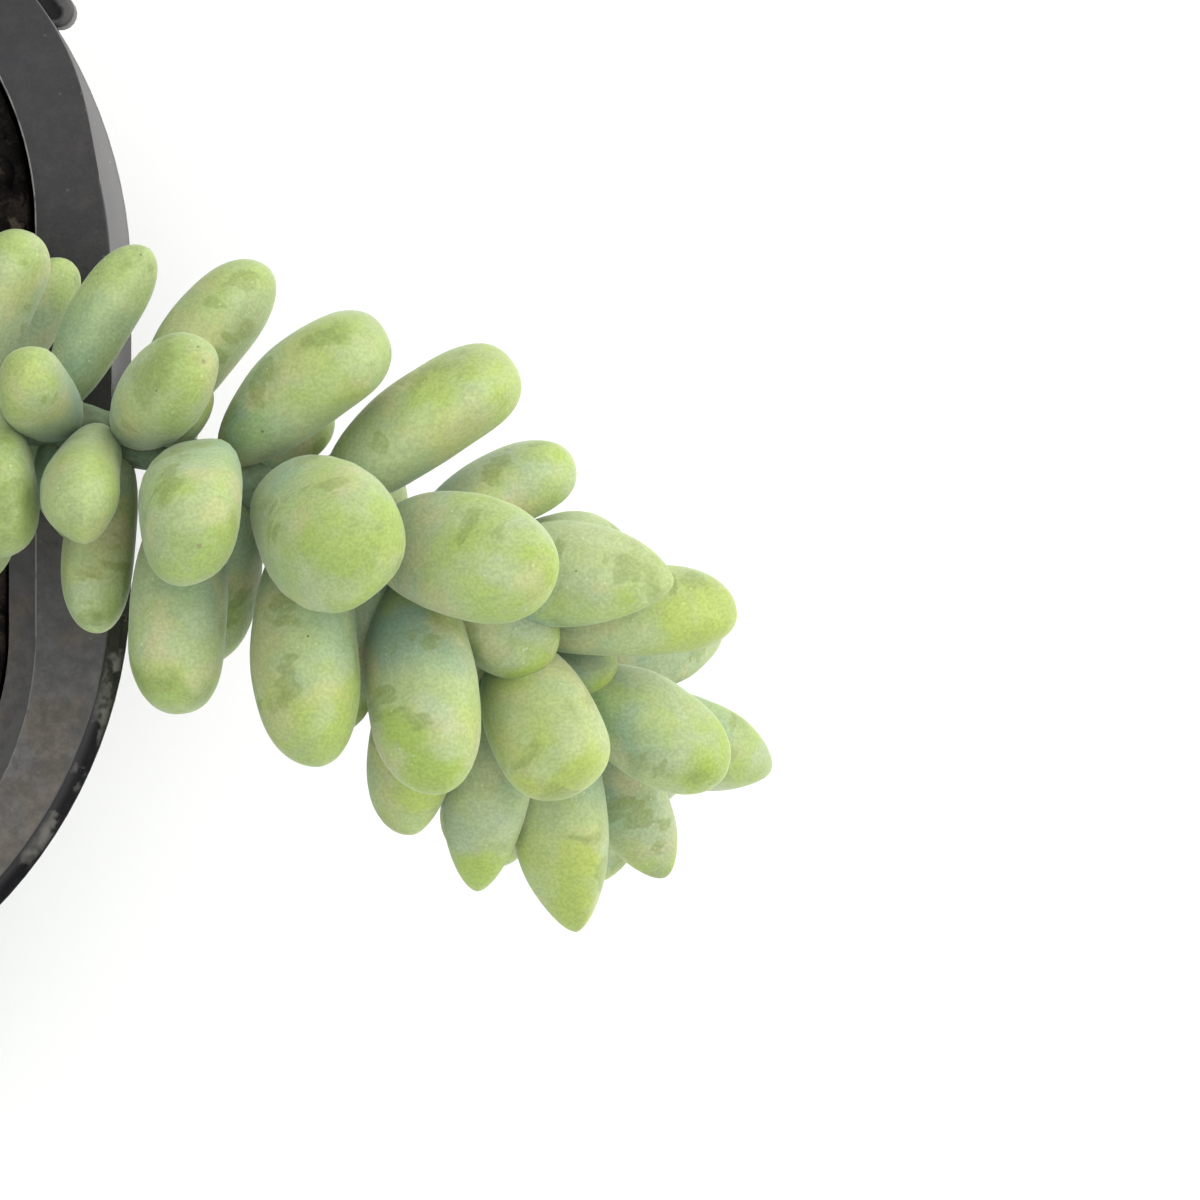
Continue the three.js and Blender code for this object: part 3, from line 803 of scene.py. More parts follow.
# %% [markdown]
# ## A leaf's fine skin
# A stretched ball would be quick to make, but a real leaf stays plump almost down to the stem. Its
# section is not an ellipse: it is flatter on the side that faces the stem's tip and has soft keels
# where it grew against its neighbours. Some leaves end blunt, some round and some in a short point.
# So the leaf is a skin over rings as well. Rings are set closer together towards the tip, where
# the outline turns fastest, and a slow noise dents the skin. About a third of the leaves keep a small
# brown spot at the tip. Every number that varies comes from the draw, so no two leaves are quite alike.

# %% How a leaf's section and end vary
FLATTER_ABOVE = 0.09
ROUNDER_BELOW = 0.05
KEEL = 0.026
SQUARENESS = 0.034
DENT_DEPTH = 0.3
DENTS_PER_MM = 0.17
TIP_CAP = 0.06
TIP_CROWDING = 1.75
SKEW = 0.06
FULLEST_SPREAD = 0.06
SLIMMEST = 0.36
SLIM_SPREAD = 0.16
SPOTTED_TIPS = 0.35
NO_SPOT = 9
LEAF_ENDS = {
    "round": {"fullest": 0.57, "bluntness": 2.5, "taper": 0.5},
    "blunt": {"fullest": 0.60, "bluntness": 3.2, "taper": 0.46},
    "pointed": {"fullest": 0.50, "bluntness": 1.9, "taper": 0.66},
}
print("a leaf ends", " or ".join(LEAF_ENDS))

# %% Skin of one leaf


def leaf_skin(stem, leaf, number, seed, sides, rows):
    root, points, headings, across = leaf_line(stem, leaf)
    end = dict(LEAF_ENDS[leaf["end"]], slimness=SLIMMEST + SLIM_SPREAD * draw(number, seed + 7))
    end["fullest"] += FULLEST_SPREAD * (draw(number, seed + 8) - 0.5)
    phases = [2 * math.pi * draw(number, seed + 10 + j) for j in range(3)]
    shift = Vector([60 * draw(number, seed + 14 + j) for j in range(3)])
    skew = SKEW * (draw(number, seed + 17) - 0.5)
    angles = 2 * np.pi * np.arange(sides) / sides
    lift = np.where(np.sin(angles) > 0, 1 - FLATTER_ABOVE, 1 + ROUNDER_BELOW)
    rings = []
    shares = 1 - (1 - (np.arange(1, rows + 1) / (rows + 0.35))) ** TIP_CROWDING
    for share in shares:
        i = min(int(share * LEAF_STEPS), LEAF_STEPS - 1)
        part = share * LEAF_STEPS - i
        middle = points[i] + (points[i + 1] - points[i]) * part
        heading = headings[i] + (headings[i + 1] - headings[i]) * part
        face = np.cross(heading, across)
        middle = middle + across * (leaf["wide"] * skew * smooth(0.35, 1, share))
        full = leaf_fullness(share, **end)
        keels = KEEL * np.cos(3 * angles + phases[0] + 0.9 * share)
        square = SQUARENESS * np.cos(4 * angles + phases[1])
        half = 0.5 * full * (1 + keels + square)
        wide = (leaf["wide"] * half * np.cos(angles))[:, None] * across
        thick = (leaf["thick"] * half * lift * np.sin(angles))[:, None] * face
        ring = wide + thick
        spots = middle + ring
        dents = np.array([noise.noise(Vector(spot) * DENTS_PER_MM + shift) for spot in spots])
        depth = DENT_DEPTH * dents * min(1, 2.5 * full)
        rings.append(spots + ring * depth[:, None] / (0.5 * leaf["wide"]))
    tip = rings[-1].mean(axis=0) + headings[LEAF_STEPS] * TIP_CAP
    skin_points, faces = ring_skin(np.array(rings), root, tip)
    ones = np.ones(len(skin_points), np.float32)
    no_spot = NO_SPOT * (draw(number, seed + 21) < 1 - SPOTTED_TIPS)
    leaf_frame = np.array([across, headings[0], np.cross(headings[0], across)])
    local = (skin_points - root) @ leaf_frame.T
    numbers = {
        "along": np.concatenate([np.repeat(shares, sides), [0, 1]]),
        # 1 on the side of each leaf's section that faces the stem's tip and 0 on the other side. This
        # number sets the painted shade.
        "lit_side_share": np.concatenate([np.tile(0.5 + 0.5 * np.sin(angles), rows), [0.5, 0.5]]),
        "tone": ones * draw(number, seed + 20),
        # How far a leaf lies from the stem's tip. This is an age that greys its green, and it also sets its
        # painted shade.
        "age_and_painted_shade": ones * smooth(45, 105, stem.length - leaf["at"]),
        "tip_far": np.linalg.norm(skin_points - tip, axis=1) + no_spot,
        "leaf_across": local[:, 0] + 40 * draw(number, seed + 22),
        "leaf_ahead": local[:, 1],
        "leaf_deep": local[:, 2],
    }
    return skin_points, faces, 0, numbers


# %% [markdown]
# ## A stem's fine skin
# The stem swells a little into a cushion under each leaf. A displacement map could raise the
# cushions, but the stem is made of rings anyway, so each ring is simply wider where a leaf is near.
# Rings every 0.8 mm are enough to show it.

# %% Skin of one stem
STEM_SIDES = 20
STEM_RING_GAP = 0.8
CUSHION_LENGTH = 1.5
CUSHION_TURN = 0.55
CUSHION_SWELL = 0.42
MOST_SWELL = 0.6
SCAR_PLACE = 1.25
SCAR_WIDTH = 0.06


def stem_skin_of(tail):
    stem = tail["stem"]
    count = int(stem.length / STEM_RING_GAP)
    distances = np.linspace(0, stem.length, count)
    angles = 2 * np.pi * np.arange(STEM_SIDES) / STEM_SIDES
    swell = np.zeros((count, STEM_SIDES))
    scar = np.zeros((count, STEM_SIDES))
    for leaf in tail["leaves"]:
        apart = distances[:, None] - leaf["at"]
        turned = np.angle(np.exp(1j * (angles[None, :] - math.radians(leaf["turn"]))))
        far = np.hypot(apart / CUSHION_LENGTH, turned / CUSHION_TURN)
        swell += CUSHION_SWELL * np.exp(-(far**2))
        scar += np.exp(-((far - SCAR_PLACE) ** 2) / SCAR_WIDTH)
    rings = []
    for j, distance in enumerate(distances):
        point, ahead, up, side = stem.at(distance)
        outward = np.cos(angles)[:, None] * up + np.sin(angles)[:, None] * side
        wobble = 0.04 * np.sin(3 * angles + 0.8 * distance) + 0.03 * np.sin(5 * angles - 1.7 * distance)
        radius = stem.radius(distance) * (1 + wobble) + np.minimum(swell[j], MOST_SWELL)
        rings.append(point + radius[:, None] * outward)
    rings = np.array(rings)[:, ::-1]
    points, faces = ring_skin(rings, stem.points[0], stem.points[-1])
    numbers = {
        "along": np.concatenate([np.repeat(distances / stem.length, STEM_SIDES), [0, 1]]),
        "scar": np.concatenate([np.minimum(scar, 1)[:, ::-1].ravel(), [0, 0]]),
    }
    return points, faces, 1, numbers


# %% Make the six leafy stems
EAST_SIDES, EAST_ROWS = 32, 34
OTHER_SIDES, OTHER_ROWS = 26, 28

for order, tail in enumerate(tails):
    seen_close = tail is east
    sides = EAST_SIDES if seen_close else OTHER_SIDES
    rows = EAST_ROWS if seen_close else OTHER_ROWS
    seed = 100 + 40 * order
    skins = []
    for k, leaf in enumerate(tail["leaves"]):
        skins.append(leaf_skin(tail["stem"], leaf, k, seed, sides, rows))
    skins.append(stem_skin_of(tail))
    piece = mesh_object(tail["name"] + "_leaves", skins, [leaf_bloom, stem_skin])
    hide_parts(tail["name"])
    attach(piece, "root")
    print(piece.name, "has", triangles(piece), "triangles")

# %% [markdown]
# ## The pot
# A nursery pot is moulded in one piece from thin black plastic. It tapers so that pots nest, has a
# stacking ledge inside, a flat flange and a skirt turned down at the edge. The outer edge of the
# flange is a polished slope nearly 2 mm wide, and the skirt leans in below it. Blender can spin a
# profile round an axis, but this pot isn't round. Each level of it is a square with very round
# corners, so the shell is one skin over such rings, from the underside round the rim and down the
# inside. Short arcs of rings round off the edges that catch the light.

# %% A square with round corners
CORNER_STEPS = 30


def soft_square(half, straight, z):
    ring = []
    radius = half - straight
    for quarter in range(4):
        turn = quarter * math.pi / 2
        cos = math.cos(turn)
        sin = math.sin(turn)
        middle = (straight * (cos - sin), straight * (sin + cos))
        for k in range(CORNER_STEPS + 1):
            angle = turn + k / CORNER_STEPS * math.pi / 2
            x = middle[0] + radius * math.cos(angle)
            y = middle[1] + radius * math.sin(angle)
            ring.append((x, y, z))
    return ring


# %% Arcs, lines and levels


def arc(centre_half, centre_z, radius, from_degrees, to_degrees, steps):
    """(half, z) pairs round an edge, with 0 degrees pointing outwards and 90 up."""
    angles = np.radians(np.linspace(from_degrees, to_degrees, steps))
    return [(centre_half + radius * math.cos(a), centre_z + radius * math.sin(a)) for a in angles]


def line(a, b, steps):
    shares = np.linspace(0, 1, steps)
    return [(a[0] + (b[0] - a[0]) * s, a[1] + (b[1] - a[1]) * s) for s in shares]


def levels(pairs, straight_low, straight_high=None, **numbers):
    """Rows of half, straight part, height and surface numbers. The straight part may change evenly."""
    high = straight_low if straight_high is None else straight_high
    rows = []
    for (half, z), share in zip(pairs, np.linspace(0, 1, len(pairs))):
        row = {"half": half, "straight": straight_low + (high - straight_low) * share, "z": z}
        row |= {"polish": 0, "scuff": 0, "rubbed": 0}
        for name, value in numbers.items():
            row[name] = value(share) if callable(value) else value
        rows.append(row)
    return rows


# %% The polished slope
FLANGE_Z = POT_HEIGHT - 0.05
SLOPE_DEGREES = 54
SLOPE_WIDTH = 1.85
SLOPE_DROP = 1.3
SLOPE_CROWN = 0.07
KNEE_RADIUS = 0.15
SHOULDER_RADIUS = 0.45


def polished_slope():
    """The sloping edge, slightly crowned, between a tight knee below and a softer shoulder above."""
    knee = arc(RIM_HALF - KNEE_RADIUS, FLANGE_Z - SLOPE_DROP, KNEE_RADIUS, -5, SLOPE_DEGREES, 5)
    top = arc(RIM_HALF - SLOPE_WIDTH, FLANGE_Z - SHOULDER_RADIUS, SHOULDER_RADIUS, SLOPE_DEGREES, 90, 6)
    crowned = []
    for (half, z), share in zip(line(knee[-1], top[0], 9), np.linspace(0, 1, 9)):
        crown = SLOPE_CROWN * math.sin(math.pi * share)
        crowned.append((half + 0.6 * crown, z + 0.8 * crown))
    rows = levels(knee[:-1], RIM_STRAIGHT, polish=1)
    # The scuffs, and the painted reflection drawn with them, go on the crowned part of the slope.
    rows += levels(crowned, RIM_STRAIGHT, polish=1, scuff=lambda share: math.sin(math.pi * share))
    return rows + levels(top[1:], RIM_STRAIGHT, polish=lambda share: 1 - share)


# %% Profile of the pot
FOOT_RADIUS = 0.8
SKIRT_Z = POT_HEIGHT - SKIRT_DROP
SKIRT_LEAN = 0.55
HEM_RADIUS = 0.5
LIP_RADIUS = 0.18


def pot_profile():
    foot = arc(BASE_HALF - FOOT_RADIUS, FOOT_RADIUS, FOOT_RADIUS, -90, 0, 5)
    wall = line((BASE_HALF, 1), (LEDGE_HALF + WALL + 0.2, LEDGE_Z - 3), 12)[1:]
    shoulder = line(wall[-1], (OPENING_HALF + 0.4, LEDGE_Z - 0.6), 4)[1:]
    collar = line(shoulder[-1], (OPENING_HALF + WALL, POT_HEIGHT - 3.1), 4)[1:]
    rows = levels(foot, BASE_STRAIGHT) + levels(wall, BASE_STRAIGHT, OPENING_STRAIGHT)
    rows += levels(shoulder + collar, OPENING_STRAIGHT)
    skirt_inner = RIM_HALF - SKIRT_THICKNESS
    under = [(skirt_inner - 0.3, POT_HEIGHT - 2.5), (skirt_inner, POT_HEIGHT - 2.8)]
    hem = arc(RIM_HALF - SKIRT_LEAN - HEM_RADIUS, SKIRT_Z + HEM_RADIUS, HEM_RADIUS, -180, -5, 7)
    rows += levels(under + hem, RIM_STRAIGHT, polish=0.5)
    rows += polished_slope()
    lip = arc(OPENING_HALF + LIP_RADIUS, POT_HEIGHT - LIP_RADIUS, LIP_RADIUS, 90, 180, 6)
    flat = line((RIM_HALF - SLOPE_WIDTH - 0.2, FLANGE_Z), lip[0], 8)
    rows += levels(flat, RIM_STRAIGHT, OPENING_STRAIGHT)
    # The inner lip carries the painted highlight.
    rows += levels(lip[1:], OPENING_STRAIGHT, rubbed=1)
    inner = line(lip[-1], (OPENING_HALF - COLLAR_TAPER, LEDGE_Z + 0.8), 8)[1:]
    ledge_end = (LEDGE_HALF, LEDGE_Z + 0.8 - LEDGE_DROP)
    ledge = line(inner[-1], ledge_end, 4)[1:]
    down = line(ledge_end, (BASE_HALF - WALL - 0.1, FLOOR_THICKNESS), 8)[1:]
    rows += levels(inner + ledge, OPENING_STRAIGHT) + levels(down, OPENING_STRAIGHT, BASE_STRAIGHT)
    return rows + levels([(BASE_HALF - WALL - 2.1, FLOOR_THICKNESS)], BASE_STRAIGHT)


print("the pot's profile has", len(pot_profile()), "levels")

# %% [markdown]
# ## The pot's finish
# The plastic is black, with a satin skin from the mould. Handling and watering leave it dusty: a faint
# brownish and greyish film, fine grain and a few scratches, more of it on what faces up and inside,
# where soil dries. On what faces up, the plastic is also made paler towards the south side. The slope
# at the edge is polished, so it mirrors what lies beside the pot: it is pale where it faces the window
# and nearly black elsewhere. On the south side the slope has small dull patches, which are scuffs that
# hide the polish, and they are painted pale grey as a painted reflection of the leaves that hang
# beside it. The thin inner lip is painted pale along its edge, most on the north side, as a painted
# highlight where the light catches it. All this could be painted by hand on one pot. Here numbers on
# the points say where the plastic is polished, where the scuffs with their painted reflection lie, and
# where the lip's painted highlight and the ear's paler tone lie. Noise does the rest, so nothing has
# to be painted again when the shape changes.

# %% Plastic and dust colours
PLASTIC_BLACK = (0.008, 0.0078, 0.0095, 1)
PLASTIC_WORN = (0.017, 0.0155, 0.0185, 1)
DUST_BROWN = (0.158, 0.137, 0.12, 1)
DUST_GREY = (0.142, 0.136, 0.137, 1)
# Pale grey of the dust specks, and of the painted reflection on the south slope.
SPECK_AND_REFLECTION_GREY = (0.20, 0.19, 0.17, 1)
# Pale of the painted highlight on the inner lip, and of the ear's rubbed tone.
RUBBED_AND_HIGHLIT_PLASTIC = (0.30, 0.285, 0.275, 1)

# %% Dust on the plastic


def plastic_dust(nodes, place, dust, polish):
    """How dusty the plastic is: more where it faces up and inside the opening. On what faces up it is also
    made paler towards the south side.
    """
    parts = nodes.add("ShaderNodeSeparateXYZ", None, Vector=place)
    normal = nodes.add("ShaderNodeNewGeometry").outputs["Normal"]
    up = nodes.add("ShaderNodeSeparateXYZ", None, Vector=normal).outputs["Z"]
    upward = nodes.between(up, 0.5, 0.95)
    broad = nodes.noise(place, 38, 2, 0.5)
    broad_share = nodes.between(broad, 0.3, 0.7, 0.05, 0.2)
    film = nodes.maths("MULTIPLY", nodes.between(dust, 0.36, 0.72), broad_share)
    film = nodes.maths("MULTIPLY", film, nodes.maths("MULTIPLY_ADD", upward, 0.7, 0.2))
    # Paler towards the south side, on what faces up.
    south = nodes.between(parts.outputs["Y"], 6 * MM, -32 * MM, 0.0, 0.72)
    south = nodes.maths("MULTIPLY", south, nodes.between(dust, 0.32, 0.68, 0.72, 1.28))
    film = nodes.maths("MULTIPLY_ADD", south, upward, film)
    below_lip = nodes.between(parts.outputs["Z"], (POT_HEIGHT - 1) * MM, (POT_HEIGHT - 8) * MM)
    inside = nodes.maths("MULTIPLY", below_lip, nodes.maths("MULTIPLY_ADD", upward, 0.5, 0.2))
    film = nodes.maths("MULTIPLY_ADD", inside, 0.42, film)
    film = nodes.maths("MULTIPLY", film, nodes.maths("SUBTRACT", 1.0, polish), clamp=True)
    return film, upward, parts.outputs["Y"]


# %% The plastic's material


def plastic_material():
    material, nodes, place = new_material("moulded_plastic")
    polish = nodes.number("polish")
    dust = nodes.noise(place, 620, 4, 0.7)
    dusty, upward, north = plastic_dust(nodes, place, dust, polish)
    blotches = nodes.noise(place, 60, 2, 0.5)
    colour = nodes.mix(nodes.between(blotches, 0.35, 0.7), PLASTIC_BLACK, PLASTIC_WORN)
    greyish = nodes.between(nodes.noise(place, 210, 3, 0.6), 0.4, 0.6)
    colour = nodes.mix(dusty, colour, nodes.mix(greyish, DUST_BROWN, DUST_GREY))
    specks = nodes.between(nodes.cells(place, 620), 0.12, 0.05, 0.0, 0.3)
    specks = nodes.maths("MULTIPLY", specks, nodes.between(blotches, 0.45, 0.6))
    colour = nodes.mix(nodes.maths("MULTIPLY", specks, upward), colour, SPECK_AND_REFLECTION_GREY)

    # Painted reflection: pale grey patches on the south part of the polished slope stand in for the leaves
    # mirrored there. The same patches are duller and less coated, as scuffs.
    scuffs = nodes.between(nodes.noise(place, 290, 3, 0.6), 0.48, 0.58)
    streaks = nodes.between(nodes.noise(place, 520, 2, 0.6), 0.35, 0.65, 0.35, 1.0)
    scuffed_and_reflection = nodes.maths("MULTIPLY", nodes.maths("MULTIPLY", scuffs, streaks), nodes.number("scuff"))
    scuffed_and_reflection = nodes.maths("MULTIPLY", scuffed_and_reflection, nodes.between(north, 5 * MM, -10 * MM, 0.15, 1.0))
    colour = nodes.mix(nodes.maths("MULTIPLY", scuffed_and_reflection, 0.75), colour, SPECK_AND_REFLECTION_GREY)
    # Painted highlight: the inner lip is painted pale along its edge, most on the north side, where the
    # light catches it. The ear's own paler tone comes from the same number.
    rubbed = nodes.between(nodes.noise(place, 700, 2, 0.6), 0.3, 0.55, 0.25, 0.9)
    rubbed = nodes.maths("MULTIPLY", rubbed, nodes.between(north, -35 * MM, 5 * MM, 0.3, 1.0))
    colour = nodes.mix(nodes.maths("MULTIPLY", rubbed, nodes.number("rubbed")), colour, RUBBED_AND_HIGHLIT_PLASTIC)

    satin = nodes.maths("MULTIPLY_ADD", dusty, 0.7, nodes.between(dust, 0.3, 0.7, 0.38, 0.48), clamp=True)
    gloss = nodes.maths("MULTIPLY_ADD", polish, -0.22, satin)
    gloss = nodes.maths("MULTIPLY_ADD", scuffed_and_reflection, 0.3, gloss)
    grain = nodes.noise(place, 2600, 2, 0.65)
    scratches = nodes.noise(nodes.stretched(place, (0.25, 1, 4)), 900, 1, 0.4, 0.3)
    height = nodes.maths("MULTIPLY_ADD", scratches, 0.35, grain)
    height = nodes.maths("MULTIPLY", height, nodes.between(polish, 0.0, 1.0, 1.0, 0.15))
    waves = nodes.noise(place, 130, 1, 0.4)
    height = nodes.maths("MULTIPLY_ADD", waves, nodes.maths("MULTIPLY", polish, 1.6), height)
    finish_material(
        nodes,
        Base_Color=colour,
        Roughness=gloss,
        Normal=nodes.bump(height, 0.00006, 0.6),
        Specular_IOR_Level=0.36,
        Coat_Weight=nodes.maths("MULTIPLY", polish, nodes.maths("MULTIPLY_ADD", scuffed_and_reflection, -0.6, 1.0)),
        Coat_Roughness=0.14,
    )
    return material


moulded_plastic = plastic_material()
print("made", moulded_plastic.name)

# %% [markdown]
# ## Drain holes and the slotted ear
# The floor has four drain holes. Rings could be led round them, but a Boolean cuts them from the shell
# in one step. An ear with a slot stands out from the north-east corner of the rim. It could be built
# face by face, but a flat curve does it sooner: it is drawn as an outline with a hole in it, is given
# its thickness and rounded edges, and is sunk slightly into the rim that carries it. A thin web closes
# the slot from below, and the flange widens towards the ear, so the polished slope runs out beside it.

# %% The drain holes
DRAIN_REACH = 24
DRAIN_RADIUS = 4
DRAIN_CUT = (-3, 6)
DRAIN_SIDES = 40


def cut(piece, cutter):
    """Cuts the cutter's shape out of the piece, and removes the cutter."""
    boolean = piece.modifiers.new("cut", "BOOLEAN")
    boolean.operation = "DIFFERENCE"
    boolean.solver = "EXACT"
    boolean.object = cutter
    bpy.context.view_layer.objects.active = piece
    bpy.ops.object.modifier_apply(modifier="cut")
    bpy.data.objects.remove(cutter)


def drain_cutter():
    turns = 2 * np.pi * np.arange(DRAIN_SIDES) / DRAIN_SIDES
    pins = []
    for quarter in range(4):
        angle = quarter * math.pi / 2
        x = DRAIN_REACH * math.cos(angle)
        y = DRAIN_REACH * math.sin(angle)
        circle = [(x + DRAIN_RADIUS * math.cos(t), y + DRAIN_RADIUS * math.sin(t)) for t in turns]
        rings = np.array([[(*spot, z) for spot in circle] for z in DRAIN_CUT])
        low, high = DRAIN_CUT
        pins.append((*ring_skin(rings, (x, y, low), (x, y, high)), 0, {}))
    return mesh_object("drain_cutter", pins, [])


# %% Outlines bent round the corner


def sweep(radius, from_degrees, to_degrees, steps=24):
    turns = np.radians(np.linspace(from_degrees, to_degrees, steps))
    return [(radius * math.cos(t), radius * math.sin(t)) for t in turns]


def round_end(radius_low, radius_high, degrees, way):
    """A half circle from the low radius to the high one, bulging back or on along the rim."""
    middle = (radius_low + radius_high) / 2
    half = (radius_high - radius_low) / 2
    turn = math.radians(degrees)
    out = Vector((math.cos(turn), math.sin(turn)))
    on = Vector((-math.sin(turn), math.cos(turn))) * way
    angles = np.radians(np.linspace(-80, 80, 9))
    return [out * (middle + half * math.sin(a)) + on * (half * math.cos(a)) for a in angles]


def bean(radius_low, radius_high, first, last):
    """A closed outline that is bent round the corner and has round ends."""
    return [
        *round_end(radius_low, radius_high, first, -1),
        *sweep(radius_high, first, last),
        *round_end(radius_low, radius_high, last, 1)[::-1],
        *sweep(radius_low, last, first),
    ]


# %% A flat plate with rounded edges


def flat_plate(name, outlines, thickness, edge, top_z, rubbed_share=0):
    """A plate from closed outlines in mm round the middle of the corner, with rounded edges."""
    curve = bpy.data.curves.new(name, "CURVE")
    curve.dimensions = "2D"
    curve.fill_mode = "BOTH"
    curve.extrude = (thickness / 2 - edge) * MM
    curve.bevel_depth = edge * MM
    curve.bevel_resolution = 3
    curve.offset = -edge * MM
    for ring in outlines:
        spline = curve.splines.new("POLY")
        spline.points.add(len(ring) - 1)
        for point, place in zip(spline.points, ring):
            point.co = (place[0] * MM, place[1] * MM, 0, 1)
        spline.use_cyclic_u = True
    holder = bpy.data.objects.new(name, curve)
    bpy.context.scene.collection.objects.link(holder)
    bpy.context.view_layer.update()
    mesh = bpy.data.meshes.new_from_object(holder.evaluated_get(bpy.context.evaluated_depsgraph_get()))
    bpy.data.objects.remove(holder)
    mesh.transform(Matrix.Translation((RIM_STRAIGHT * MM, RIM_STRAIGHT * MM, (top_z - thickness / 2) * MM)))
    mesh.materials.clear()
    mesh.materials.append(moulded_plastic)
    rubbed = mesh.attributes.new("rubbed", "FLOAT", "POINT")
    rubbed.data.foreach_set("value", [rubbed_share] * len(mesh.vertices))
    plate = bpy.data.objects.new(name, mesh)
    bpy.context.scene.collection.objects.link(plate)
    return plate


# %% The flat root beside the ear
EAR_FROM = 34.2
EAR_TO = 57.5
ROOT_THICKNESS = 1.7
ROOT_EDGE = 0.06
ROOT_PROUD = 0.006
ROOT_OVERHANG = 2
ROOT_TAPER = 20
ROOT_TRIM = 0.3
ROOT_STEPS = 90
SHOULDER_REACH = 0.22
SHOULDER_TAPER = 1.5


def root_outline(rim):
    """The flange widens towards the ear, so the polished slope runs out to nothing on either side."""
    first = EAR_FROM - ROOT_OVERHANG - ROOT_TAPER
    last = EAR_TO + ROOT_OVERHANG + ROOT_TAPER
    outer = []
    inner = []
    for degrees in np.linspace(first + ROOT_TRIM, last - ROOT_TRIM, ROOT_STEPS):
        from_end = min(degrees - first, last - degrees)
        near = smooth(0, ROOT_TAPER, from_end)
        over_shoulder = SHOULDER_REACH * smooth(0, SHOULDER_TAPER, from_end)
        over_slope = (SLOPE_WIDTH - KNEE_RADIUS - SHOULDER_REACH) * near
        outer += sweep(rim - SLOPE_WIDTH + over_shoulder + over_slope, degrees, degrees, 1)
        inner += sweep(rim - SLOPE_WIDTH - 0.1 - 0.5 * near, degrees, degrees, 1)
    return outer + inner[::-1]


# %% The ear, its slot and its web
EAR_REACH = 2.35
EAR_BAR = 1.3
EAR_SUNK = 0.6
EAR_THICKNESS = 3
EAR_EDGE = 0.4
EAR_RUBBED = 0.16
EAR_TOP = POT_HEIGHT - 1.5
SLOT_INSET = 0.1
WEB_THICKNESS = 0.8
WEB_EDGE = 0.38
WEB_DROP = 2.3


def slotted_ear():
    """The ear's bar with its slot, the web that closes the slot from below, and the flat root beside it."""
    rim = RIM_HALF - RIM_STRAIGHT
    outline = bean(rim - EAR_SUNK, rim + EAR_REACH, EAR_FROM, EAR_TO)
    slot = bean(rim - 0.1, rim + EAR_REACH - EAR_BAR, EAR_FROM + SLOT_INSET, EAR_TO - SLOT_INSET)
    bar = flat_plate("slotted_ear", (outline, slot), EAR_THICKNESS, EAR_EDGE, EAR_TOP, EAR_RUBBED)
    web = flat_plate("ear_web", (outline,), WEB_THICKNESS, WEB_EDGE, EAR_TOP - WEB_DROP)
    root_top = FLANGE_Z + ROOT_PROUD
    root = flat_plate("ear_root", (root_outline(rim),), ROOT_THICKNESS, ROOT_EDGE, root_top)
    return bar, web, root


print(f"the ear spans {EAR_FROM} to {EAR_TO} degrees of the corner")


# %% Make the pot
profile = pot_profile()
pot_rings = np.array([soft_square(row["half"], row["straight"], row["z"]) for row in profile])
pot_skin = ring_skin(pot_rings, (0, 0, 0), (0, 0, FLOOR_THICKNESS))
around = pot_rings.shape[1]
pot_numbers = {}
for name in ("polish", "scuff", "rubbed"):
    pot_numbers[name] = np.repeat([row[name] for row in profile], around)
pot = mesh_object("nursery_pot", [(*pot_skin, 0, pot_numbers)], [moulded_plastic], 32)
cut(pot, drain_cutter())
with bpy.context.temp_override(active_object=pot, selected_editable_objects=[pot, *slotted_ear()]):
    bpy.ops.object.join()
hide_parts("pot")
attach(pot, "root")
print(pot.name, "has", triangles(pot), "triangles")

# %% [markdown]
# ## The soil
# Potting mix is dark peat with brown crumbs and bits of bark. The surface is one skin with lumps from
# layered noise. It is heaped against the wall on the north side, where it covers the pot's ledge, and
# it has settled on the south side, where the ledge stays bare. A displaced grid could give the same
# lumps, but a height worked out in code also tells the crumbs where to lie. Crumbs and bark are small
# solids that are sunk in by half. Particles could scatter them, but an exported model loses those.

# %% Heights of the soil
SOIL_GAP = 0.4
SOIL_TOP_HALF = LEDGE_HALF - SOIL_GAP
LEDGE_COVER = 3
BANK_HEIGHT = 5.8
SETTLED_BY = 1.8


def soil_reach(y):
    """Half the width of the soil's top: on the north side it covers the ledge."""
    return SOIL_TOP_HALF + LEDGE_COVER * smooth(4, 14, y)


def soil_top(x, y):
    slope = 1.3 * y / OPENING_HALF
    lumps = 0.7 * math.sin(0.31 * x + 1.3) * math.cos(0.27 * y - 0.4)
    ripples = 0.4 * math.sin(0.17 * x - 0.39 * y)
    return SOIL_LEVEL + slope + lumps + ripples


def bank(x, y):
    """Soil heaped against the wall on the north side, and drawn back from it on the south side."""
    near_wall = smooth(OPENING_HALF - 18, OPENING_HALF - 6, soft_reach(x, y, OPENING_STRAIGHT))
    return near_wall * (BANK_HEIGHT * smooth(-2, 16, y) - SETTLED_BY * smooth(0, -20, y))


def crumbly(x, y):
    place = Vector((x, y, 0))
    coarse = noise.fractal(place * 0.22, 0.9, 2.1, 3)
    lumps = abs(noise.noise(place * 0.62 + Vector((7, 3, 1))))
    fine = noise.fractal(place * 1.6, 0.7, 2.2, 3)
    return 0.9 * coarse + 1.3 * lumps + 0.35 * fine - 0.4


def soil_height(x, y):
    return soil_top(x, y) + bank(x, y) + crumbly(x, y)


print(f"the soil lies {soil_height(0, 0):.1f} mm up in the middle")

# %% The soil's skin
SOIL_BASE_HALF = BASE_HALF - WALL - 0.1 - SOIL_GAP
SOIL_AROUND = 300
SOIL_ROWS = 80


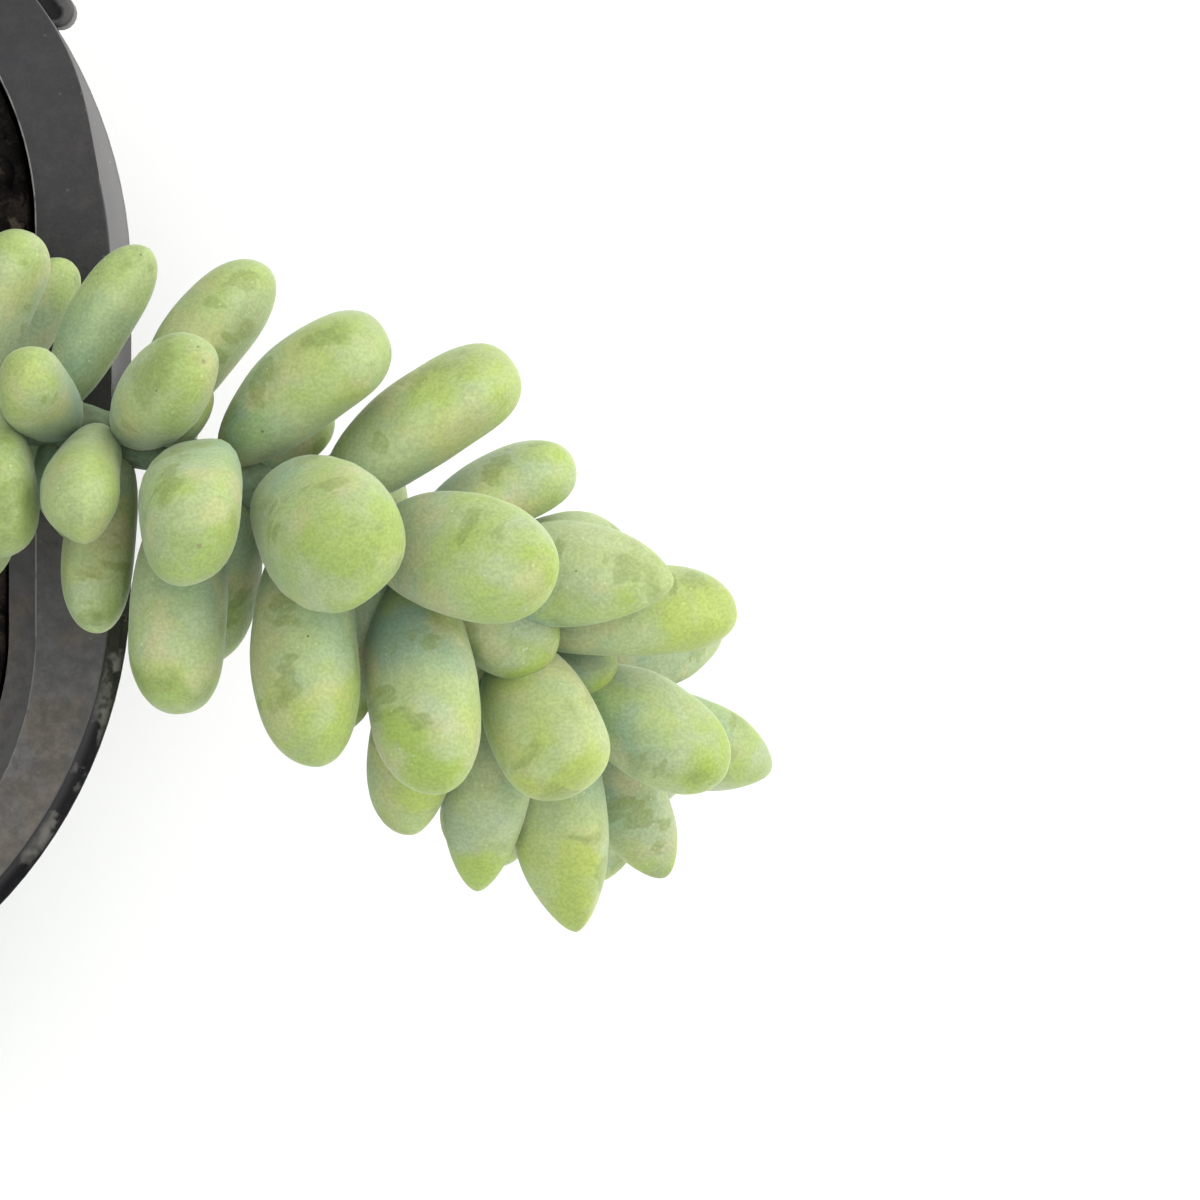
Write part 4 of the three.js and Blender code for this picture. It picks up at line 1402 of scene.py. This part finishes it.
def even_ring(half, straight, count=SOIL_AROUND):
    """Points of the round-cornered square at even angles round the middle."""
    ring = []
    for angle in 2 * np.pi * np.arange(count) / count:
        c = abs(math.cos(angle))
        d = abs(math.sin(angle))
        root = (half - straight) ** 2 - 2 * straight**2 + (straight * (c + d)) ** 2
        reach = straight * (c + d) + math.sqrt(max(root, 0))
        if reach * min(c, d) <= straight:
            reach = half / max(c, d)
        ring.append((reach * math.cos(angle), reach * math.sin(angle)))
    return np.array(ring)


def soil_skin():
    bottom_z = FLOOR_THICKNESS + SOIL_GAP
    deep = even_ring(SOIL_BASE_HALF, BASE_STRAIGHT)
    throat = even_ring(SOIL_TOP_HALF, OPENING_STRAIGHT)
    edge = throat * (np.array([soil_reach(y) for x, y in throat]) / SOIL_TOP_HALF)[:, None]
    edge_z = np.array([soil_height(x, y) for x, y in edge])
    covered = np.array([smooth(4, 14, y) for x, y in throat])
    throat_z = np.minimum(LEDGE_Z - 3.4, edge_z - 0.6)
    under_z = throat_z + 0.3 + covered * (LEDGE_Z + 1.1 - throat_z - 0.3)
    turn_out = throat + (edge - throat) * 0.1
    turn_out_z = throat_z + 0.25 + covered * (LEDGE_Z - 0.2 - throat_z)
    rings = [np.column_stack([deep, np.full(SOIL_AROUND, bottom_z)])]
    rings.append(np.column_stack([throat, throat_z]))
    rings.append(np.column_stack([turn_out, turn_out_z]))
    rings.append(np.column_stack([edge, under_z]))
    for share in np.linspace(1, 1 / SOIL_ROWS, SOIL_ROWS):
        rings.append(np.array([(x, y, soil_height(x, y)) for x, y in edge * share]))
    return ring_skin(np.array(rings), (0, 0, bottom_z), (0, 0, soil_height(0, 0)))


# %% One crumb or bit of bark


def lump_template(level):
    """Points and faces of a ball of triangles."""
    mesh = bmesh.new()
    bmesh.ops.create_icosphere(mesh, subdivisions=level, radius=1)
    points = np.array([vert.co[:] for vert in mesh.verts])
    faces = [[vert.index for vert in face.verts] for face in mesh.faces]
    mesh.free()
    return points, faces


def lump(template, place, sizes, turn, tone, roughness, slot, rng):
    points, faces = template
    shift = Vector(rng.uniform(0, 50, 3))
    swell = np.array([1 + roughness * noise.noise(Vector(p) * 1.6 + shift) for p in points])
    shaped = points * swell[:, None] * np.array(sizes)
    turned = shaped @ np.array(turn).T + np.array(place)
    return turned, faces, slot, {"tone": np.full(len(points), tone, np.float32)}


def random_turn(rng, tilt):
    about_x = Matrix.Rotation(rng.uniform(-tilt, tilt), 3, "X")
    about_y = Matrix.Rotation(rng.uniform(-tilt, tilt), 3, "Y")
    return about_x @ about_y @ Matrix.Rotation(rng.uniform(0, 2 * math.pi), 3, "Z")


# %% Scatter crumbs and bark
CRUMBS = 900
BARK_BITS = 70
LUMP_LEVEL = 2
SCATTER_SEED = 12


def place_on_soil(rng, margin):
    while True:
        x, y = rng.uniform(-OPENING_HALF, OPENING_HALF, 2)
        if soft_reach(x, y, OPENING_STRAIGHT) < soil_reach(y) - margin:
            return x, y


def soil_lumps():
    rng = np.random.default_rng(SCATTER_SEED)
    round_lump = lump_template(LUMP_LEVEL)
    skins = []
    for _ in range(CRUMBS):
        size = 0.35 + 1.1 * rng.random() ** 2.6
        x, y = place_on_soil(rng, 0.7 * size)
        sizes = size * rng.uniform(0.75, 1.2, 3)
        place = (x, y, soil_height(x, y) + 0.25 * size)
        skins.append(lump(round_lump, place, sizes, random_turn(rng, 3), rng.random(), 0.9, 0, rng))
    for _ in range(BARK_BITS):
        long = rng.uniform(1.6, 4.2)
        x, y = place_on_soil(rng, 0.8 * long)
        sizes = (long, long * rng.uniform(0.3, 0.5), long * rng.uniform(0.12, 0.22))
        place = (x, y, soil_height(x, y) + 0.5)
        skins.append(lump(round_lump, place, sizes, random_turn(rng, 0.5), rng.random(), 0.5, 1, rng))
    return skins


# %% [markdown]
# ## The soil's finish
# Damp peat is nearly black, and it dries to brown on the crumbs that stand proud. Bark is redder, with
# grain along it. Both are quite matt. One noise would look like cloth, so three sizes of it give the
# damp patches, the crumbs and the grit, and a tone for each lump keeps neighbours apart.

# %% The soil's material
PEAT_BLACK = (0.006, 0.005, 0.0045, 1)
PEAT_BROWN = (0.032, 0.023, 0.019, 1)
CRUMB_BROWN = (0.115, 0.085, 0.064, 1)


def soil_material():
    material, nodes, place = new_material("potting_mix")
    tone = nodes.number("tone")
    broad = nodes.noise(place, 230, 3, 0.6)
    crumbs = nodes.noise(place, 900, 4, 0.7)
    fine = nodes.noise(place, 3200, 2, 0.6)
    colour = nodes.mix(nodes.between(broad, 0.5, 0.68), PEAT_BLACK, PEAT_BROWN)
    dry = nodes.maths("MULTIPLY", nodes.between(crumbs, 0.5, 0.72), 0.5)
    dry = nodes.maths("MULTIPLY", dry, nodes.between(broad, 0.46, 0.6, 0.2, 1.0))
    dry = nodes.maths("MULTIPLY_ADD", nodes.between(tone, 0.55, 1.0), 0.8, dry, clamp=True)
    colour = nodes.mix(dry, colour, CRUMB_BROWN)
    colour = nodes.mix(1.0, colour, nodes.between(fine, 0.3, 0.7, 0.7, 1.2), "MULTIPLY")
    height = nodes.maths("MULTIPLY_ADD", fine, 0.4, crumbs)
    finish_material(
        nodes,
        Base_Color=colour,
        Roughness=nodes.between(broad, 0.3, 0.8, 0.78, 0.95),
        Normal=nodes.bump(height, 0.0004, 0.7),
        Specular_IOR_Level=0.25,
    )
    return material


potting_mix = soil_material()
print("made", potting_mix.name)

# %% The bark's material
BARK_DARK = (0.045, 0.029, 0.02, 1)
BARK_LIGHT = (0.14, 0.095, 0.062, 1)


def bark_material():
    material, nodes, place = new_material("bark_bits")
    tone = nodes.number("tone")
    grain = nodes.noise(nodes.stretched(place, (0.3, 1, 1)), 1400, 3, 0.6)
    light = nodes.maths("MULTIPLY_ADD", tone, 0.5, nodes.between(grain, 0.35, 0.7, 0, 0.5))
    colour = nodes.mix(light, BARK_DARK, BARK_LIGHT)
    finish_material(
        nodes,
        Base_Color=colour,
        Roughness=nodes.between(grain, 0.3, 0.7, 0.7, 0.9),
        Normal=nodes.bump(grain, 0.0004, 0.6),
        Specular_IOR_Level=0.3,
    )
    return material


bark_bits = bark_material()
print("made", bark_bits.name)

# %% Make the soil
soil = mesh_object("potting_soil", [(*soil_skin(), 0, {}), *soil_lumps()], [potting_mix, bark_bits])
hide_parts("soil")
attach(soil, "root")
print(soil.name, "has", triangles(soil), "triangles")

# %% [markdown]
# ## The floor and the light
# The photograph is taken in a very bright, even room: the ground is white and the shadows are soft.
# A pale floor and a bright sky give that. More light comes from the east-north-east, where a window
# would be: the sky is brighter and a little warmer there, and one tall soft lamp stands for the
# window. It lights the flanks of the leaves that face it and shines along the edge of the rim. The
# far side of the sky is dimmer and cooler. One dark place low in the south-east, as a dark doorway
# would be, is there for the polished edge of the rim to mirror.

# %% Floor
FLOOR_HALF = 1.6
FLOOR_WHITE = (0.975, 0.97, 0.97, 1)
FLOOR_SHADE = (0.93, 0.93, 0.92, 1)


def floor_material():
    material, nodes, place = new_material("pale_floor")
    tint = nodes.noise(place, 6, 2, 0.5)
    colour = nodes.mix(nodes.between(tint, 0.3, 0.7, 0.0, 0.06), FLOOR_WHITE, FLOOR_SHADE)
    dullness = nodes.between(tint, 0.3, 0.7, 0.75, 0.85)
    finish_material(nodes, Base_Color=colour, Roughness=dullness, Specular_IOR_Level=0.2)
    return material


CORNERS = ((-1, -1), (1, -1), (1, 1), (-1, 1))
floor_corners = [(x * FLOOR_HALF / MM, y * FLOOR_HALF / MM, 0) for x, y in CORNERS]
floor = mesh_object("floor", [(np.array(floor_corners), [[0, 1, 2, 3]], 0, {})], [floor_material()])
floor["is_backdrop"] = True
print(f"the floor is {2 * FLOOR_HALF:.1f} m wide")

# %% The sky
SKY_ABOVE = 1.71
SKY_BRIGHT_SIDE = 1.74
SKY_DIM_SIDE = 0.8
WARM_SIDE = (1.0, 0.985, 0.93, 1)
COOL_SIDE = (0.86, 0.975, 1.0, 1)
SKY_DARK_PLACE = 0.05
DARK_AZIMUTH = math.radians(-32)
DARK_ELEVATION = math.radians(16)
WINDOW_AZIMUTH = math.radians(26)


def sky():
    world = bpy.data.worlds.new("bright_room")
    world.use_nodes = True
    nodes = Nodes(world.node_tree)
    direction = nodes.add("ShaderNodeTexCoord").outputs["Generated"]
    parts = nodes.add("ShaderNodeSeparateXYZ", None, Vector=direction)
    east = nodes.maths("MULTIPLY", parts.outputs["X"], math.cos(WINDOW_AZIMUTH))
    towards = nodes.maths("MULTIPLY_ADD", parts.outputs["Y"], math.sin(WINDOW_AZIMUTH), east)
    side = nodes.between(towards, 0.1, 0.95, SKY_DIM_SIDE, SKY_BRIGHT_SIDE)
    dark_level = math.cos(DARK_ELEVATION)
    dark = nodes.maths("MULTIPLY", parts.outputs["X"], dark_level * math.cos(DARK_AZIMUTH))
    dark = nodes.maths("MULTIPLY_ADD", parts.outputs["Y"], dark_level * math.sin(DARK_AZIMUTH), dark)
    dark = nodes.maths("MULTIPLY_ADD", parts.outputs["Z"], math.sin(DARK_ELEVATION), dark)
    side = nodes.maths("MULTIPLY", side, nodes.between(dark, 0.84, 0.94, 1.0, SKY_DARK_PLACE))
    above = nodes.between(parts.outputs["Z"], 0.35, 0.95)
    part_above = nodes.maths("MULTIPLY", above, SKY_ABOVE)
    part_side = nodes.maths("MULTIPLY", nodes.maths("SUBTRACT", 1.0, above), side)
    strength = nodes.maths("ADD", part_above, part_side)
    tint = nodes.mix(nodes.between(towards, -0.5, 0.6), COOL_SIDE, WARM_SIDE)
    tint = nodes.mix(above, tint, (1, 1, 1, 1))
    surface = nodes.add("ShaderNodeBackground", None, Color=tint, Strength=strength).outputs[0]
    nodes.add("ShaderNodeOutputWorld", None, Surface=surface)
    bpy.context.scene.world = world


sky()
print("the sky is", bpy.context.scene.world.name)

# %% The window
WINDOW_ELEVATION = math.radians(27)
WINDOW_DISTANCE = 1.1
WINDOW_SIZE = (0.75, 0.9)
WINDOW_WATTS = 4.6
WINDOW_AIM = Vector((0.06, 0, 0.09))


def soft_lamp(name, place, aim, size, watts):
    light = bpy.data.lights.new(name, "AREA")
    light.shape = "RECTANGLE"
    light.size, light.size_y = size
    light.energy = watts
    lamp = bpy.data.objects.new(name, light)
    lamp.location = place
    lamp.rotation_euler = (Vector(aim) - Vector(place)).to_track_quat("-Z", "Y").to_euler()
    bpy.context.scene.collection.objects.link(lamp)
    return lamp


window_level = WINDOW_DISTANCE * math.cos(WINDOW_ELEVATION)
window_step = (
    window_level * math.cos(WINDOW_AZIMUTH),
    window_level * math.sin(WINDOW_AZIMUTH),
    WINDOW_DISTANCE * math.sin(WINDOW_ELEVATION),
)
soft_lamp("window_lamp", WINDOW_AIM + Vector(window_step), WINDOW_AIM, WINDOW_SIZE, WINDOW_WATTS)
print("the window's lamp has", WINDOW_WATTS, "watts")

# %% [markdown]
# ## The camera
# The photograph looks straight down from about half a metre above the rim, past the side of the pot.
# A long lens keeps the frame to the tail that leans out, so the pot is cut off at the left edge.

# %% Camera
PIXELS_PER_MM = 11.35
FRAME_PIXELS = 1200
CAMERA_ABOVE_RIM = 470
CAMERA_X = 96.4
CAMERA_Y = -15
SENSOR_MM = 36

view_width = FRAME_PIXELS / PIXELS_PER_MM
lens = bpy.data.cameras.new("camera_above")
lens.sensor_width = SENSOR_MM
lens.lens = SENSOR_MM * CAMERA_ABOVE_RIM / view_width
lens.clip_start = 0.01
camera = bpy.data.objects.new("camera_above", lens)
camera.location = (CAMERA_X * MM, CAMERA_Y * MM, (POT_HEIGHT + CAMERA_ABOVE_RIM) * MM)
bpy.context.scene.collection.objects.link(camera)
bpy.context.scene.camera = camera
bpy.context.scene.view_settings.view_transform = "Standard"
print(f"lens {lens.lens:.1f} mm, {view_width:.1f} mm across at the rim")

# %% [markdown]
# ## Check the size
# The dressed plant has to stay the size of the frame.

# %% Compare the boxes
new_low, new_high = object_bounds()
growth = np.subtract([*new_low, *new_high], [*cad_low, *cad_high]) / MM
print("grown by, in mm:", np.round(growth, 2).tolist())
